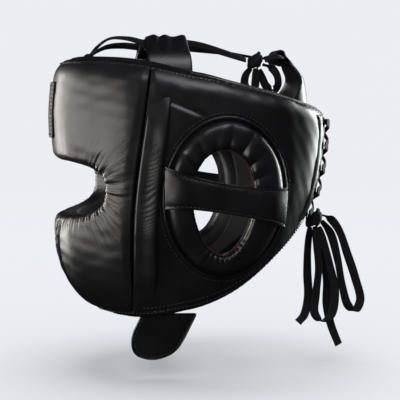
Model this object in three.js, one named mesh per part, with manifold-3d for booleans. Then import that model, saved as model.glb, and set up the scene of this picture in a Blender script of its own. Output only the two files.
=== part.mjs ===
// Full-face boxing headgear with a lace-up back and a laced crown, open at the eyes, ears, crown and neck.
// Millimetres, +Z up, the face towards -Y, the wearer's left side on +X, origin in the middle of the
// head cavity. The padded wall is one rounded surface: a turn round the head (0 at the face, 90 degrees at
// the left ear), a height, and a depth measured inwards from the outer face.
import * as THREE from 'three';
import { mergeVertices } from 'three/addons/utils/BufferGeometryUtils.js';
import Module from 'manifold-3d';

const wasm = await Module();
wasm.setup();

// ---------------------------------------------------------------- driving dimensions
const HEAD_LENGTH = 208; // head cavity, forehead lining to tongue
const HEAD_BREADTH = 158; // head cavity, ear lining to ear lining
const WALL = 22; // leather, foam and lining together
const LEATHER = 1.8;
const LINING = 1.2;
const LAYER_GAP = 0.5; // between stacked layers
const PIECE_GAP = 0.6; // between neighbouring pieces
const RIM = 8; // wall left at a bound edge
const REAR_WALL = 12; // wall at the laced rear edges
const PLAN_ROUNDNESS = 2.35; // exponent of the plan outline, 2 is an ellipse
const TOP_SHOULDER = 18; // height over which the outer face rolls in to the top edge
const BOTTOM_SHOULDER = 20; // height over which the inner face rolls out to the bottom edge
const BINDING = 3; // visible height of the bound edges
const EYE = { z: -18, halfHeight: 25, halfTurn: 50.5, roundness: 3, facing: 2.4 };
const EAR = { y: 22, z: -24, halfLength: 52, halfHeight: 67, lift: 9 };
const EAR_HOLE = { y: 19, z: -28, halfLength: 27, halfHeight: 46, taper: 0.14 };
const EAR_SLOT_DEPTH = [40, 130]; // X range of the cutter that makes room for the ear ring
const PIPING = { radius: 1.7, margin: 4 }; // margin outside the ear ring
const BOLSTER = { width: 20, lift: 6, top: 64, bottom: -118 };
const EAR_STRAP = { from: -33, to: 78, width: 26, endWidth: 36, thickness: 2.2, z: -19.8, droop: 0.18 };
const REAR_TURN = 168; // turn of the laced rear edges
const LACE_DIAMETER = 4.6; // crown lace and rear bow
const THIN_LACE_DIAMETER = 3.4; // rear lacing and crown bow, drawn tight
const TUNNEL = { wall: 1.8, clearance: 1.1 }; // leather round the crown lace
const EYELETS = { count: 5, top: 41, pitch: 21, turn: 159, radius: 3.4, tube: 0.9 };
const FACING = { from: 153.5, to: 164.5, thickness: 1.6 };
const TONGUE = { halfTurn: 33, thickness: 10, top: 44, bottom: -52 };
const FLAP = { y: -24, width: 40, thickness: 2.4 }; // side crown flap
const SIDE_LOOP = { x: 34, z: 112.5 }; // lace tunnels: side flaps, rear flap, front tab
const REAR_LOOP = { y: 86, z: 101.5, halfWidth: 18 };
const FRONT_LOOP = { front: -97.2, z: 98, halfWidth: 12 };
const PATCH = { halfWidth: 26, bottom: 27, top: 78, thickness: 2.6 };
// The chin pieces' insets are measured from the side of the head cavity.
const TAB = { inset: 29, rootZ: -136, thickness: 3, patch: 1, tipY: -37, tipZ: -152, tipRadius: 21.5 };
const SLING = { inset: 41, tip: 24, y: -20, width: 36, z: -130, thickness: 5 };

const RAD = Math.PI / 180;

/** Smooth curve through [x, y] knots: a cubic between neighbours, with slopes shared at each knot. */
function throughKnots(knots) {
  const rise = knots.slice(1).map(([x, y], i) => (y - knots[i][1]) / (x - knots[i][0]));
  const slope = knots.map((_, i) => ((rise[i - 1] ?? rise[i]) + (rise[i] ?? rise[i - 1])) / 2);
  return (x) => {
    let i = 0;
    while (i < knots.length - 2 && x > knots[i + 1][0]) i += 1;
    const [x0, y0] = knots[i];
    const [x1, y1] = knots[i + 1];
    const span = x1 - x0;
    const s = THREE.MathUtils.clamp((x - x0) / span, 0, 1);
    const bend = s * s * (3 - 2 * s);
    return y0 + (y1 - y0) * bend + span * s * (1 - s) * ((1 - s) * slope[i] - s * slope[i + 1]);
  };
}

// How far the outer face falls back from its fullest place, by height: at the face, the nape and the sides.
const frontRetreat = throughKnots([[-150, 76], [-135, 50], [-126, 33], [-107, 16], [-78, 5], [-50, 2],
  [10, 1], [50, 0], [75, 2], [104, 6]]);
const backRetreat = throughKnots([[-150, 56], [-110, 42], [-80, 30], [-45, 16], [-22, 7.5], [0, 3],
  [30, 0], [60, 0], [80, 2], [104, 6]]);
const sideRetreat = throughKnots([[-150, 45], [-130, 32], [-100, 17], [-60, 7], [-20, 2], [20, 0],
  [50, 1.5], [80, 6], [104, 11]]);
// Heights of the top and bottom edges, by turn in degrees.
const topEdge = throughKnots([[0, 99], [30, 98.5], [62, 95], [85, 85], [98, 77.5], [120, 68.5], [143, 60],
  [168, 51]]);
const bottomEdge = throughKnots([[0, -135], [50, -133], [84, -131], [101, -122], [120, -105], [139, -79],
  [155, -59], [168, -50]]);
// Where the front seam runs, as Y by height.
const seamLine = throughKnots([[-140, -58], [-40, -60], [80, -45]]);

const signedPower = (value, power) => Math.sign(value) * Math.abs(value) ** power;

/** Extent of the plan outline at a height, taken in by a depth. */
function plan(z, depth) {
  const front = -(HEAD_LENGTH / 2 + WALL) + frontRetreat(z) + depth;
  const back = HEAD_LENGTH / 2 + WALL - backRetreat(z) - depth;
  const half = HEAD_BREADTH / 2 + WALL - sideRetreat(z) - depth;
  return { middle: (front + back) / 2, reach: (back - front) / 2, half };
}

/** Point of the wall at a turn in degrees, a height and a depth. */
function wallPoint(turn, z, depth) {
  const { middle, reach, half } = plan(z, depth);
  return new THREE.Vector3(
    half * signedPower(Math.sin(turn * RAD), 2 / PLAN_ROUNDNESS),
    middle - reach * signedPower(Math.cos(turn * RAD), 2 / PLAN_ROUNDNESS),
    z,
  );
}

/** X of the left outer face at a given Y and height, standing proud by a lift. */
function sideX(y, z, lift = 0) {
  const { middle, reach, half } = plan(z, 0);
  const share = Math.min(Math.abs((y - middle) / reach), 0.999);
  return half * (1 - share ** PLAN_ROUNDNESS) ** (1 / PLAN_ROUNDNESS) + lift;
}

/** Turn in degrees at which the outer face has a given Y. */
function turnAt(y, z) {
  const { middle, reach } = plan(z, 0);
  const along = signedPower((middle - y) / reach, PLAN_ROUNDNESS / 2);
  return Math.acos(THREE.MathUtils.clamp(along, -1, 1)) / RAD;
}

// ---------------------------------------------------------------- closed meshes
/** Closed mesh through rings of the same number of points; open ends are capped across the ring. */
function loft(rings, { closed = false } = {}) {
  const count = rings[0].length;
  const positions = rings.flat().flatMap((p) => [p.x, p.y, p.z]);
  const index = [];
  const quad = (a, b, c, d) => index.push(a, b, c, a, c, d);
  const quadBack = (a, b, c, d) => index.push(a, b, d, b, c, d); // same diagonal on a layer's other face
  for (let i = 0; i < rings.length - (closed ? 0 : 1); i += 1) {
    const here = i * count;
    const next = ((i + 1) % rings.length) * count;
    for (let j = 0; j < count; j += 1) {
      const k = (j + 1) % count;
      const split = j < count / 2 ? quad : quadBack;
      split(here + j, here + k, next + k, next + j);
    }
  }
  if (!closed) {
    const last = (rings.length - 1) * count;
    for (let j = 0; j < count / 2 - 1; j += 1) {
      const across = count - 1 - j;
      quad(j, across, across - 1, j + 1);
      quad(last + j, last + j + 1, last + across - 1, last + across);
    }
  }
  const geometry = new THREE.BufferGeometry();
  geometry.setAttribute('position', new THREE.Float32BufferAttribute(positions, 3));
  geometry.setIndex(index);
  return facingOut(geometry);
}

/** Turns all faces round where the mesh encloses a negative volume. */
function facingOut(geometry) {
  const p = geometry.attributes.position;
  const index = geometry.index.array;
  const corner = (k) => new THREE.Vector3().fromBufferAttribute(p, index[k]);
  let volume = 0;
  for (let k = 0; k < index.length; k += 3) {
    volume += corner(k).dot(corner(k + 1).cross(corner(k + 2)));
  }
  if (volume < 0) index.reverse();
  geometry.computeVertexNormals();
  return geometry;
}

function toSolid(geometry) {
  const bare = geometry.clone();
  bare.deleteAttribute('normal');
  bare.deleteAttribute('uv');
  const merged = mergeVertices(bare, 1e-4);
  return new wasm.Manifold(new wasm.Mesh({
    numProp: 3,
    vertProperties: new Float32Array(merged.attributes.position.array),
    triVerts: new Uint32Array(merged.index.array),
  }));
}

function toGeometry(solid) {
  const { vertProperties, triVerts } = solid.getMesh();
  const geometry = new THREE.BufferGeometry();
  geometry.setAttribute('position', new THREE.Float32BufferAttribute(vertProperties, 3));
  geometry.setIndex(Array.from(triVerts));
  geometry.computeVertexNormals();
  return geometry;
}

const cut = (geometry, cutter) => toGeometry(toSolid(geometry).subtract(toSolid(cutter)));
const join = (...parts) => toGeometry(parts.map(toSolid).reduce((all, part) => all.add(part)));

/** Copy mirrored to the wearer's right side. */
function mirrored(geometry) {
  const copy = geometry.clone().applyMatrix4(new THREE.Matrix4().makeScale(-1, 1, 1));
  return facingOut(copy.index ? copy : mergeVertices(copy));
}

// ---------------------------------------------------------------- the padded wall as a grid
const MIDDLE_ROWS = 3;

/** Heights of the grid's rows between a bottom and a top edge: close together on the rolled shoulders. */
function rowHeights(bottom, top) {
  const low = [0, 4, 11, BOTTOM_SHOULDER].map((d) => bottom + d);
  const high = [TOP_SHOULDER, 12, 7, BINDING, 0].map((d) => top - d);
  const step = (high[0] - low[3]) / (MIDDLE_ROWS + 1);
  const between = Array.from({ length: MIDDLE_ROWS }, (_, i) => low[3] + step * (i + 1));
  return [...low, ...between, ...high];
}
const LAST_ROW = rowHeights(-100, 100).length - 1;

/** Share by which a face has rolled away, from 0 at the shoulder's start to 1 at the edge. */
const roll = (distance, shoulder) => {
  const s = THREE.MathUtils.clamp(1 - distance / shoulder, 0, 1);
  return 1 - Math.sqrt(1 - s * s);
};

/** Depths of the outer and the inner face at a turn and height. */
function faces(turn, z, bottom, top) {
  const thinning = THREE.MathUtils.smoothstep(Math.abs(turn), 135, REAR_TURN);
  const wall = WALL - (WALL - REAR_WALL) * thinning;
  const outer = (wall - RIM) * roll(top - z, TOP_SHOULDER) + 3 * roll(z - bottom, 6);
  const inner = wall - (wall - RIM - 3) * roll(z - bottom, BOTTOM_SHOULDER);
  return { outer, inner };
}

/** Grid of wall stations: columns round the head, rows up it. */
function wallGrid(columns, nominalTurn, turnOnSeam) {
  return Array.from({ length: columns + 1 }, (_, c) => {
    const nominal = nominalTurn(c / columns);
    const bottom = bottomEdge(Math.abs(nominal));
    const top = topEdge(Math.abs(nominal));
    return rowHeights(bottom, top).map((z) => {
      const turn = turnOnSeam(c / columns, z);
      return { turn, z, ...faces(turn, z, bottom, top) };
    });
  });
}

const SEAM_TURN = 68.5; // of the front seam at mid height
const FRONT_COLUMNS = 14;
const SIDE_COLUMNS = 9;
const seamTurn = (z) => turnAt(seamLine(z), z);
const frontGrid = wallGrid(FRONT_COLUMNS, (s) => SEAM_TURN * (2 * s - 1), (s, z) => seamTurn(z) * (2 * s - 1));
const sideGrid = wallGrid(
  SIDE_COLUMNS,
  (s) => SEAM_TURN + (REAR_TURN - SEAM_TURN) * s,
  (s, z) => seamTurn(z) + (REAR_TURN - seamTurn(z)) * s,
);

/** Whole numbers between two ends, with the ends themselves. */
function stations(from, to) {
  const list = [from];
  for (let i = Math.floor(from) + 1; i < to; i += 1) list.push(i);
  return [...list, to];
}

/** Point on the faceted wall at a fractional column and row. */
function gridPoint(grid, column, row, depth) {
  const c = Math.min(Math.floor(column), grid.length - 2);
  const r = Math.min(Math.floor(row), LAST_ROW - 1);
  const node = (i, j) => {
    const { turn, z, outer, inner } = grid[i][j];
    return wallPoint(turn, z, depth(outer, inner));
  };
  const low = node(c, r).lerp(node(c + 1, r), column - c);
  const high = node(c, r + 1).lerp(node(c + 1, r + 1), column - c);
  return low.lerp(high, row - r);
}

/** Curved slab of the wall between two columns, two rows and two depths. */
function slab(grid, [fromColumn, toColumn], [fromRow, toRow], outerDepth, innerDepth) {
  const rows = stations(fromRow, toRow);
  return loft(stations(fromColumn, toColumn).map((column) => [
    ...rows.map((row) => gridPoint(grid, column, row, outerDepth)),
    ...rows.toReversed().map((row) => gridPoint(grid, column, row, innerDepth)),
  ]));
}

const leatherLayer = [(outer) => outer, (outer) => outer + LEATHER];
const foamLayer = [
  (outer) => outer + LEATHER + LAYER_GAP,
  (outer, inner) => inner - LINING - LAYER_GAP,
];
const liningLayer = [(outer, inner) => inner - LINING, (outer, inner) => inner];
const bindingLayer = [(outer) => outer - 0.5, (outer, inner) => inner + 0.5];
const SKIN_ROWS = [1, LAST_ROW - 1];
const FOAM_ROWS = [1.15, LAST_ROW - 1.2];
const TOP_BINDING_ROWS = [LAST_ROW - 0.85, LAST_ROW];
const BOTTOM_BINDING_ROWS = [0, 0.85];

// ---------------------------------------------------------------- materials
const finish = (name, color, roughness, metalness = 0) =>
  new THREE.MeshStandardMaterial({ name, color, roughness, metalness });
const LEATHER_FINISH = ['leather', 0x17161a, 0.35];
const SATIN_FINISH = ['lining', 0x1b1a1c, 0.75];
const FOAM_FINISH = ['foam', 0x3a3a3c, 0.95];
const LACE_FINISH = ['lace', 0x1c1c20, 0.8];
const PILE_FINISH = ['hook and loop', 0x0c0c0d, 1];

const headgear = new THREE.Group();
function addPiece(name, geometry, look) {
  const mesh = new THREE.Mesh(geometry, finish(...look));
  mesh.name = name;
  headgear.add(mesh);
}

/** Adds a left-hand piece and its mirror image. */
function addPair(name, geometry, look) {
  addPiece(`left_${name}`, geometry, look);
  addPiece(`right_${name}`, mirrored(geometry), look);
}

// ---------------------------------------------------------------- eye opening
/** Ring of the eye opening's outline, grown by a margin, at a depth. */
function eyeRing(margin, depth, count = 32) {
  const halfTurn = EYE.halfTurn + margin / 1.7;
  const halfHeight = EYE.halfHeight + margin;
  return Array.from({ length: count }, (_, i) => {
    const angle = ((i + 0.5) / count) * 2 * Math.PI;
    return wallPoint(
      halfTurn * signedPower(Math.cos(angle), 2 / EYE.roundness),
      EYE.z + halfHeight * signedPower(Math.sin(angle), 2 / EYE.roundness),
      depth,
    );
  });
}
const eyeCutter = loft([eyeRing(0, -14), eyeRing(0, WALL + 14)]);

/** Facing: the leather that lines the cut edge, as a closed band round the outline. */
function eyeFacing() {
  const outside = [0, WALL].map((depth) => eyeRing(-PIECE_GAP, depth));
  const inside = [WALL, 0].map((depth) => eyeRing(-PIECE_GAP - EYE.facing, depth));
  const corners = [...outside, ...inside];
  return loft(outside[0].map((_, i) => corners.map((ring) => ring[i])), { closed: true });
}

// ---------------------------------------------------------------- front section
const EYE_ROW = 5.2; // row that parts the forehead pad from the pads below it
const CHEEK_COLUMN = 3.9; // columns from the seam to the chin pad
const PAD_SLIT = 0.05; // half the slit between neighbouring pads, in columns or rows
const wholeFront = [0, FRONT_COLUMNS];

const frontSkin = (layer) => cut(slab(frontGrid, wholeFront, SKIN_ROWS, ...layer), eyeCutter);

addPiece('front_shell', frontSkin(leatherLayer), LEATHER_FINISH);
addPiece('front_lining', frontSkin(liningLayer), SATIN_FINISH);
addPiece('eye_opening_facing', eyeFacing(), LEATHER_FINISH);
for (const [level, rows] of [['top', TOP_BINDING_ROWS], ['bottom', BOTTOM_BINDING_ROWS]]) {
  addPiece(`front_${level}_binding`, slab(frontGrid, wholeFront, rows, ...bindingLayer), LEATHER_FINISH);
}

const PAD_INSET = 0.1; // from the seams, in columns
const upperRows = [EYE_ROW + PAD_SLIT, FOAM_ROWS[1]];
const lowerRows = [FOAM_ROWS[0], EYE_ROW - PAD_SLIT];
const leftCheek = FRONT_COLUMNS - CHEEK_COLUMN; // column that parts the chin pad from the left cheek pad
const FRONT_PADS = {
  forehead_pad: [[PAD_INSET, FRONT_COLUMNS - PAD_INSET], upperRows],
  right_cheek_pad: [[PAD_INSET, CHEEK_COLUMN - PAD_SLIT], lowerRows],
  chin_pad: [[CHEEK_COLUMN + PAD_SLIT, leftCheek - PAD_SLIT], lowerRows],
  left_cheek_pad: [[leftCheek + PAD_SLIT, FRONT_COLUMNS - PAD_INSET], lowerRows],
};
for (const [name, [columns, rows]] of Object.entries(FRONT_PADS)) {
  addPiece(name, cut(slab(frontGrid, columns, rows, ...foamLayer), eyeCutter), FOAM_FINISH);
}

/** Plain rectangular patch lying on the forehead, a little proud of the leather. */
function foreheadPatch() {
  const across = Array.from({ length: 7 }, (_, i) => (i / 6) * 2 - 1);
  const heights = [PATCH.bottom, (PATCH.bottom + PATCH.top) / 2, PATCH.top];
  const at = (share, z, lift) => {
    const x = share * PATCH.halfWidth;
    const { middle, reach, half } = plan(z, -lift);
    const y = middle - reach * (1 - Math.abs(x / half) ** PLAN_ROUNDNESS) ** (1 / PLAN_ROUNDNESS);
    return new THREE.Vector3(x, y, z);
  };
  return loft(across.map((share) => [
    ...heights.map((z) => at(share, z, PIECE_GAP)),
    ...heights.toReversed().map((z) => at(share, z, PIECE_GAP + PATCH.thickness)),
  ]));
}
addPiece('forehead_patch', foreheadPatch(), LEATHER_FINISH);

// ---------------------------------------------------------------- ear ring
const EAR_STEPS = 20;
const earAngles = Array.from({ length: EAR_STEPS }, (_, i) => ((i + 0.5) / EAR_STEPS) * 2 * Math.PI);

/** Outline of the ring at an angle: share 0 is the hole's edge, 1 the ring's outer edge, as [y, z]. */
function earOutline(angle, share, margin = 0) {
  const c = Math.cos(angle);
  const s = Math.sin(angle);
  const hole = [
    EAR_HOLE.y + EAR_HOLE.halfLength * c * (1 + EAR_HOLE.taper * s),
    EAR_HOLE.z + EAR_HOLE.halfHeight * s,
  ];
  const edge = [EAR.y + (EAR.halfLength + margin) * c, EAR.z + (EAR.halfHeight + margin) * s];
  return hole.map((value, i) => value + (edge[i] - value) * share);
}

function earPoint(angle, share, lift, margin = 0) {
  const [y, z] = earOutline(angle, share, margin);
  return new THREE.Vector3(sideX(y, z, lift), y, z);
}

/** Closed ring whose section is a list of [share, lift]. */
const earLoft = (section) => loft(
  earAngles.map((angle) => section.map(([share, lift]) => earPoint(angle, share, lift))),
  { closed: true },
);

const earSlot = loft(EAR_SLOT_DEPTH.map((x) => earAngles.map((angle) => {
  const [y, z] = earOutline(angle, 1, PIECE_GAP);
  return new THREE.Vector3(x, y, z);
})));

const EAR_BACK = -(WALL - 2.6); // inner end of the ring, just clear of the lining's face
const coverSection = [
  [1, EAR_BACK], [1, 1], [0.78, EAR.lift - 1.5], [0.4, EAR.lift], [0, 0], [0, EAR_BACK],
  [0.09, EAR_BACK], [0.09, -1.2], [0.42, EAR.lift - 2.4], [0.74, EAR.lift - 4], [0.92, -0.6], [0.92, EAR_BACK],
];
const coreSection = [
  [0.88, EAR_BACK + 1], [0.88, -2], [0.5, EAR.lift - 4.5], [0.14, -3.5], [0.14, EAR_BACK + 1],
  [0.5, EAR_BACK + 1],
];

/** Tube along an open or closed row of points, with a regular section. */
function tube(points, radius, steps, { closed = false, sides = 8 } = {}) {
  const curve = new THREE.CatmullRomCurve3(points, closed, 'centripetal');
  const frames = curve.computeFrenetFrames(steps, closed);
  const at = (i) => curve.getPointAt(i / steps);
  const rings = Array.from({ length: steps + (closed ? 0 : 1) }, (_, i) =>
    Array.from({ length: sides }, (__, j) => {
      const angle = ((j + 0.5) / sides) * 2 * Math.PI;
      return at(i)
        .addScaledVector(frames.normals[i], radius * Math.cos(angle))
        .addScaledVector(frames.binormals[i], radius * Math.sin(angle));
    }));
  return loft(rings, { closed });
}

addPair('ear_ring_cover', earLoft(coverSection), LEATHER_FINISH);
addPair('ear_ring_core', earLoft(coreSection), FOAM_FINISH);
addPair('ear_piping', tube(
  earAngles.filter((_, i) => i % 2 === 0)
    .map((angle) => earPoint(angle, 1, PIPING.radius + PIECE_GAP, PIPING.margin)),
  PIPING.radius, 26, { closed: true, sides: 6 },
), LEATHER_FINISH);

/** Strap that bridges the ear hole from the front of the ring to its back. */
function earStrap() {
  const { from, to, width, endWidth, thickness, z: frontZ, droop } = EAR_STRAP;
  const count = 12;
  const overPiping = 2 * PIPING.radius + 3 * PIECE_GAP;
  const overRing = EAR.lift + 2 * PIECE_GAP;
  return loft(Array.from({ length: count + 1 }, (_, i) => {
    const share = i / count;
    const y = from + (to - from) * share;
    const middle = frontZ - droop * y;
    const arch = overPiping + (overRing - overPiping) * (1 - Math.abs(2 * share - 1) ** 7);
    const half = (width + (endWidth - width) * Math.abs(2 * share - 1) ** 2.5) / 2;
    const corner = (side, lift) => {
      const z = middle + side * half;
      return new THREE.Vector3(sideX(y, z, arch + lift), y, z);
    };
    return [corner(-1, 0), corner(1, 0), corner(1, thickness), corner(-1, thickness)];
  }));
}
addPair('ear_strap', earStrap(), LEATHER_FINISH);

// ---------------------------------------------------------------- side sections
const SEAM_GAP = 0.12; // columns between the front seam and the side section
const sideColumns = [SEAM_GAP, SIDE_COLUMNS - 0.3];
const sideSkin = (layer, rows = SKIN_ROWS) => cut(slab(sideGrid, sideColumns, rows, ...layer), earSlot);

addPair('side_shell', sideSkin(leatherLayer), LEATHER_FINISH);
addPair('side_pad', cut(
  slab(sideGrid, [SEAM_GAP + 0.08, SIDE_COLUMNS - 0.45], FOAM_ROWS, ...foamLayer), earSlot,
), FOAM_FINISH);
addPair('side_lining', sideSkin(liningLayer), SATIN_FINISH);
addPair('side_top_binding', slab(sideGrid, [SEAM_GAP, SIDE_COLUMNS], TOP_BINDING_ROWS, ...bindingLayer),
  LEATHER_FINISH);
addPair('side_bottom_binding', slab(sideGrid, [SEAM_GAP, SIDE_COLUMNS], BOTTOM_BINDING_ROWS, ...bindingLayer),
  LEATHER_FINISH);
addPair('rear_binding', slab(sideGrid, [SIDE_COLUMNS - 0.25, SIDE_COLUMNS], SKIN_ROWS, ...bindingLayer),
  LEATHER_FINISH);

/** Vertical padded roll just behind the front seam. */
function bolster() {
  const count = 10;
  const section = [[0, 0], [0.12, 0.55], [0.5, 1], [0.88, 0.55], [1, 0], [0.5, 0]];
  return loft(Array.from({ length: count + 1 }, (_, i) => {
    const z = BOLSTER.bottom + (BOLSTER.top - BOLSTER.bottom) * (i / count);
    const front = seamLine(z) + 2.5;
    return section.map(([share, rise]) => {
      const y = front + BOLSTER.width * share;
      return new THREE.Vector3(sideX(y, z, PIECE_GAP + 0.4 + BOLSTER.lift * rise), y, z);
    });
  }));
}
addPair('seam_bolster', bolster(), LEATHER_FINISH);

// ---------------------------------------------------------------- rear edge: facing and eyelets
const eyeletHeights = Array.from({ length: EYELETS.count }, (_, i) => EYELETS.top - EYELETS.pitch * i);

/** Band of leather under the eyelets, lying on the side shell along its rear edge. */
function eyeletFacing() {
  const heights = [eyeletHeights.at(-1) - 3, ...eyeletHeights.toReversed(), EYELETS.top + 1.5];
  const turns = [FACING.from, (FACING.from + FACING.to) / 2, FACING.to];
  return loft(heights.map((z) => [
    ...turns.map((turn) => wallPoint(turn, z, -PIECE_GAP)),
    ...turns.toReversed().map((turn) => wallPoint(turn, z, -PIECE_GAP - FACING.thickness)),
  ]));
}

/** One eyelet: a small ring set half its thickness into the facing. */
function eyelet(z) {
  const centre = wallPoint(EYELETS.turn, z, -PIECE_GAP - FACING.thickness);
  const beside = wallPoint(EYELETS.turn + 2, z, -PIECE_GAP - FACING.thickness);
  const across = beside.sub(centre).normalize();
  const out = new THREE.Vector3().crossVectors(new THREE.Vector3(0, 0, 1), across).negate();
  const rings = Array.from({ length: 6 }, (_, i) => {
    const a = (i / 6) * 2 * Math.PI;
    const spoke = across.clone().multiplyScalar(Math.cos(a)).add(new THREE.Vector3(0, 0, Math.sin(a)));
    return Array.from({ length: 4 }, (__, j) => {
      const b = (j / 4) * 2 * Math.PI;
      return centre.clone()
        .addScaledVector(spoke, EYELETS.radius + EYELETS.tube * Math.cos(b))
        .addScaledVector(out, EYELETS.tube * Math.sin(b));
    });
  });
  return loft(rings, { closed: true });
}
addPair('eyelet_facing', join(eyeletFacing(), ...eyeletHeights.map(eyelet)), LEATHER_FINISH);

// ---------------------------------------------------------------- tongue and rear crown flap
/** Depth of the tongue's outer face: just inside the rear wall, which thins towards its laced edge. */
function tongueDepth(turn) {
  const thinning = THREE.MathUtils.smoothstep(180 - Math.abs(turn - 180), 135, REAR_TURN);
  return WALL - (WALL - REAR_WALL) * thinning + 1.6;
}

/** Padded tongue behind the lacing: it lies inside both rear edges. */
function tongue() {
  const count = 10;
  const heights = [TONGUE.bottom, -28, -4, 20, TONGUE.top];
  return loft(Array.from({ length: count + 1 }, (_, i) => {
    const turn = 180 + TONGUE.halfTurn * (2 * (i / count) - 1);
    const outer = tongueDepth(turn);
    return [
      ...heights.map((z) => wallPoint(turn, z, outer)),
      ...heights.toReversed().map((z) => wallPoint(turn, z, outer + TONGUE.thickness)),
    ];
  }));
}
addPiece('rear_tongue', tongue(), LEATHER_FINISH);

const TUNNEL_INNER = LACE_DIAMETER / 2 + TUNNEL.clearance;
const TUNNEL_OUTER = TUNNEL_INNER + TUNNEL.wall;
/** Tunnel for the crown lace: an open tube between two points. */
function tunnel(from, to) {
  const axis = to.clone().sub(from).normalize();
  const side = new THREE.Vector3().crossVectors(axis, new THREE.Vector3(0, 0, 1)).normalize();
  const up = new THREE.Vector3().crossVectors(side, axis);
  const sides = 10;
  const ring = (centre, radius) => Array.from({ length: sides }, (_, i) => {
    const a = ((i + 0.5) / sides) * 2 * Math.PI;
    return centre.clone().addScaledVector(side, radius * Math.cos(a)).addScaledVector(up, radius * Math.sin(a));
  });
  const corners = [
    ring(from, TUNNEL_OUTER), ring(to, TUNNEL_OUTER), ring(to, TUNNEL_INNER), ring(from, TUNNEL_INNER),
  ];
  return loft(corners[0].map((_, i) => corners.map((c) => c[i])), { closed: true });
}

/** Rear crown flap: a curved leather that narrows from the tongue's top up to the crown lace. */
function rearFlap() {
  const count = 8;
  const base = [[TONGUE.top + 2, 1], [61, 0]]; // height, and how far in from the tongue's outer face
  const profile = [[110, 79, 34, 8], [98.5, 94, 24, 3],
    [REAR_LOOP.y + TUNNEL_OUTER - 0.2, REAR_LOOP.z, REAR_LOOP.halfWidth, 0]]; // Y, height, half width, dip
  const at = (share, inward) => [
    ...base.map(([z, extra]) => {
      const turn = 180 - 30 * share;
      return wallPoint(turn, z, tongueDepth(turn) + extra + inward);
    }),
    ...profile.map(([y, z, half, dip]) => new THREE.Vector3(
      share * half, y - dip * share * share - inward, z - inward * 0.4,
    )),
  ];
  return loft(Array.from({ length: count + 1 }, (_, i) => {
    const share = (i / count) * 2 - 1;
    return [...at(share, 0), ...at(share, FLAP.thickness).toReversed()];
  }));
}
addPiece('rear_crown_flap', join(rearFlap(), tunnel(
  new THREE.Vector3(-REAR_LOOP.halfWidth, REAR_LOOP.y, REAR_LOOP.z),
  new THREE.Vector3(REAR_LOOP.halfWidth, REAR_LOOP.y, REAR_LOOP.z),
)), LEATHER_FINISH);

/** Side crown flap: a strip that rises from inside the top edge and ends in the lace tunnel. */
function sideFlap() {
  const insideLining = (z, inward) => [plan(z, WALL + inward).half, z];
  const bend = insideLining(99, 7);
  const path = [
    insideLining(72, 6.6), insideLining(86, 5), bend,
    [SIDE_LOOP.x + 0.64 * (bend[0] - SIDE_LOOP.x), SIDE_LOOP.z - 4],
    [SIDE_LOOP.x + TUNNEL_INNER + 0.6, SIDE_LOOP.z + 0.5],
  ];
  const ends = [FLAP.y - FLAP.width / 2, FLAP.y + FLAP.width / 2];
  const inward = FLAP.thickness * Math.SQRT1_2; // the inner face lies at 45 degrees inside the outer one
  return loft(ends.map((y) => [
    ...path.map(([x, z]) => new THREE.Vector3(x, y, z)),
    ...path.map(([x, z]) => new THREE.Vector3(x - inward, y, z - inward)).toReversed(),
  ]));
}
addPair('crown_flap', join(sideFlap(), tunnel(
  new THREE.Vector3(SIDE_LOOP.x, FLAP.y - FLAP.width / 2, SIDE_LOOP.z),
  new THREE.Vector3(SIDE_LOOP.x, FLAP.y + FLAP.width / 2, SIDE_LOOP.z),
)), LEATHER_FINISH);

/** Front lace tab: a short leather that rises behind the front lining and ends in the lace tunnel. */
const frontLoopY = FRONT_LOOP.front + TUNNEL_OUTER;
function frontTab() {
  const behindLining = (z) => {
    const { middle, reach } = plan(z, WALL + 2);
    return [middle - reach, z];
  };
  const path = [behindLining(72), behindLining(86), [frontLoopY - 0.8, FRONT_LOOP.z - 4]];
  const at = (x, inward) => path.map(([y, z]) => new THREE.Vector3(x, y + inward, z));
  return loft([-FRONT_LOOP.halfWidth, FRONT_LOOP.halfWidth].map((x) => [
    ...at(x, 0), ...at(x, FLAP.thickness * 0.7).toReversed(),
  ]));
}
addPiece('front_lace_tab', join(frontTab(), tunnel(
  new THREE.Vector3(-FRONT_LOOP.halfWidth, frontLoopY, FRONT_LOOP.z),
  new THREE.Vector3(FRONT_LOOP.halfWidth, frontLoopY, FRONT_LOOP.z),
)), LEATHER_FINISH);

// ---------------------------------------------------------------- laces
const v = (x, y, z) => new THREE.Vector3(x, y, z);
const laceRadius = LACE_DIAMETER / 2;
const thinLaceRadius = THIN_LACE_DIAMETER / 2;

// From the crown knot forward through the left tunnel, across the front tab, back through the right tunnel,
// across the rear tunnel and forward to the knot again.
const CROWN_LACE = [
  v(27, 51, 98), v(30, 30, 104.5), v(33, 8, 110.5), v(34, -6, 112.5), v(34, -24, 112.5), v(34, -42, 112.5),
  v(31, -58, 116.5), v(25, -74, 116.5), v(20.5, -86, 108), v(17, -91.5, 99.5), v(11, -92, 98),
  v(0, -92, 98), v(-11, -92, 98), v(-17, -91.5, 99.5), v(-20.5, -86, 105), v(-25, -74, 111.5),
  v(-31, -58, 113.5), v(-34, -42, 112.5), v(-34, -24, 112.5), v(-34, -6, 112.5), v(-33, 16, 110.5),
  v(-31, 44, 107), v(-30.5, 68, 103.5), v(-28, 80, 102), v(-20, 86, 101.5), v(0, 86, 101.5), v(20, 86, 101.5),
  v(27, 82, 101.5), v(29, 76, 100.5), v(28, 68.5, 98.5),
];
addPiece('crown_lace', tube(CROWN_LACE, laceRadius, 40), LACE_FINISH);

const knot = (radius, centre, stretch) => new THREE.SphereGeometry(radius, 8, 6)
  .scale(...stretch).translate(...centre);
addPiece('crown_knot', knot(6.5, [27.5, 59.5, 97], [0.8, 1, 0.8]), LACE_FINISH);

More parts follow.
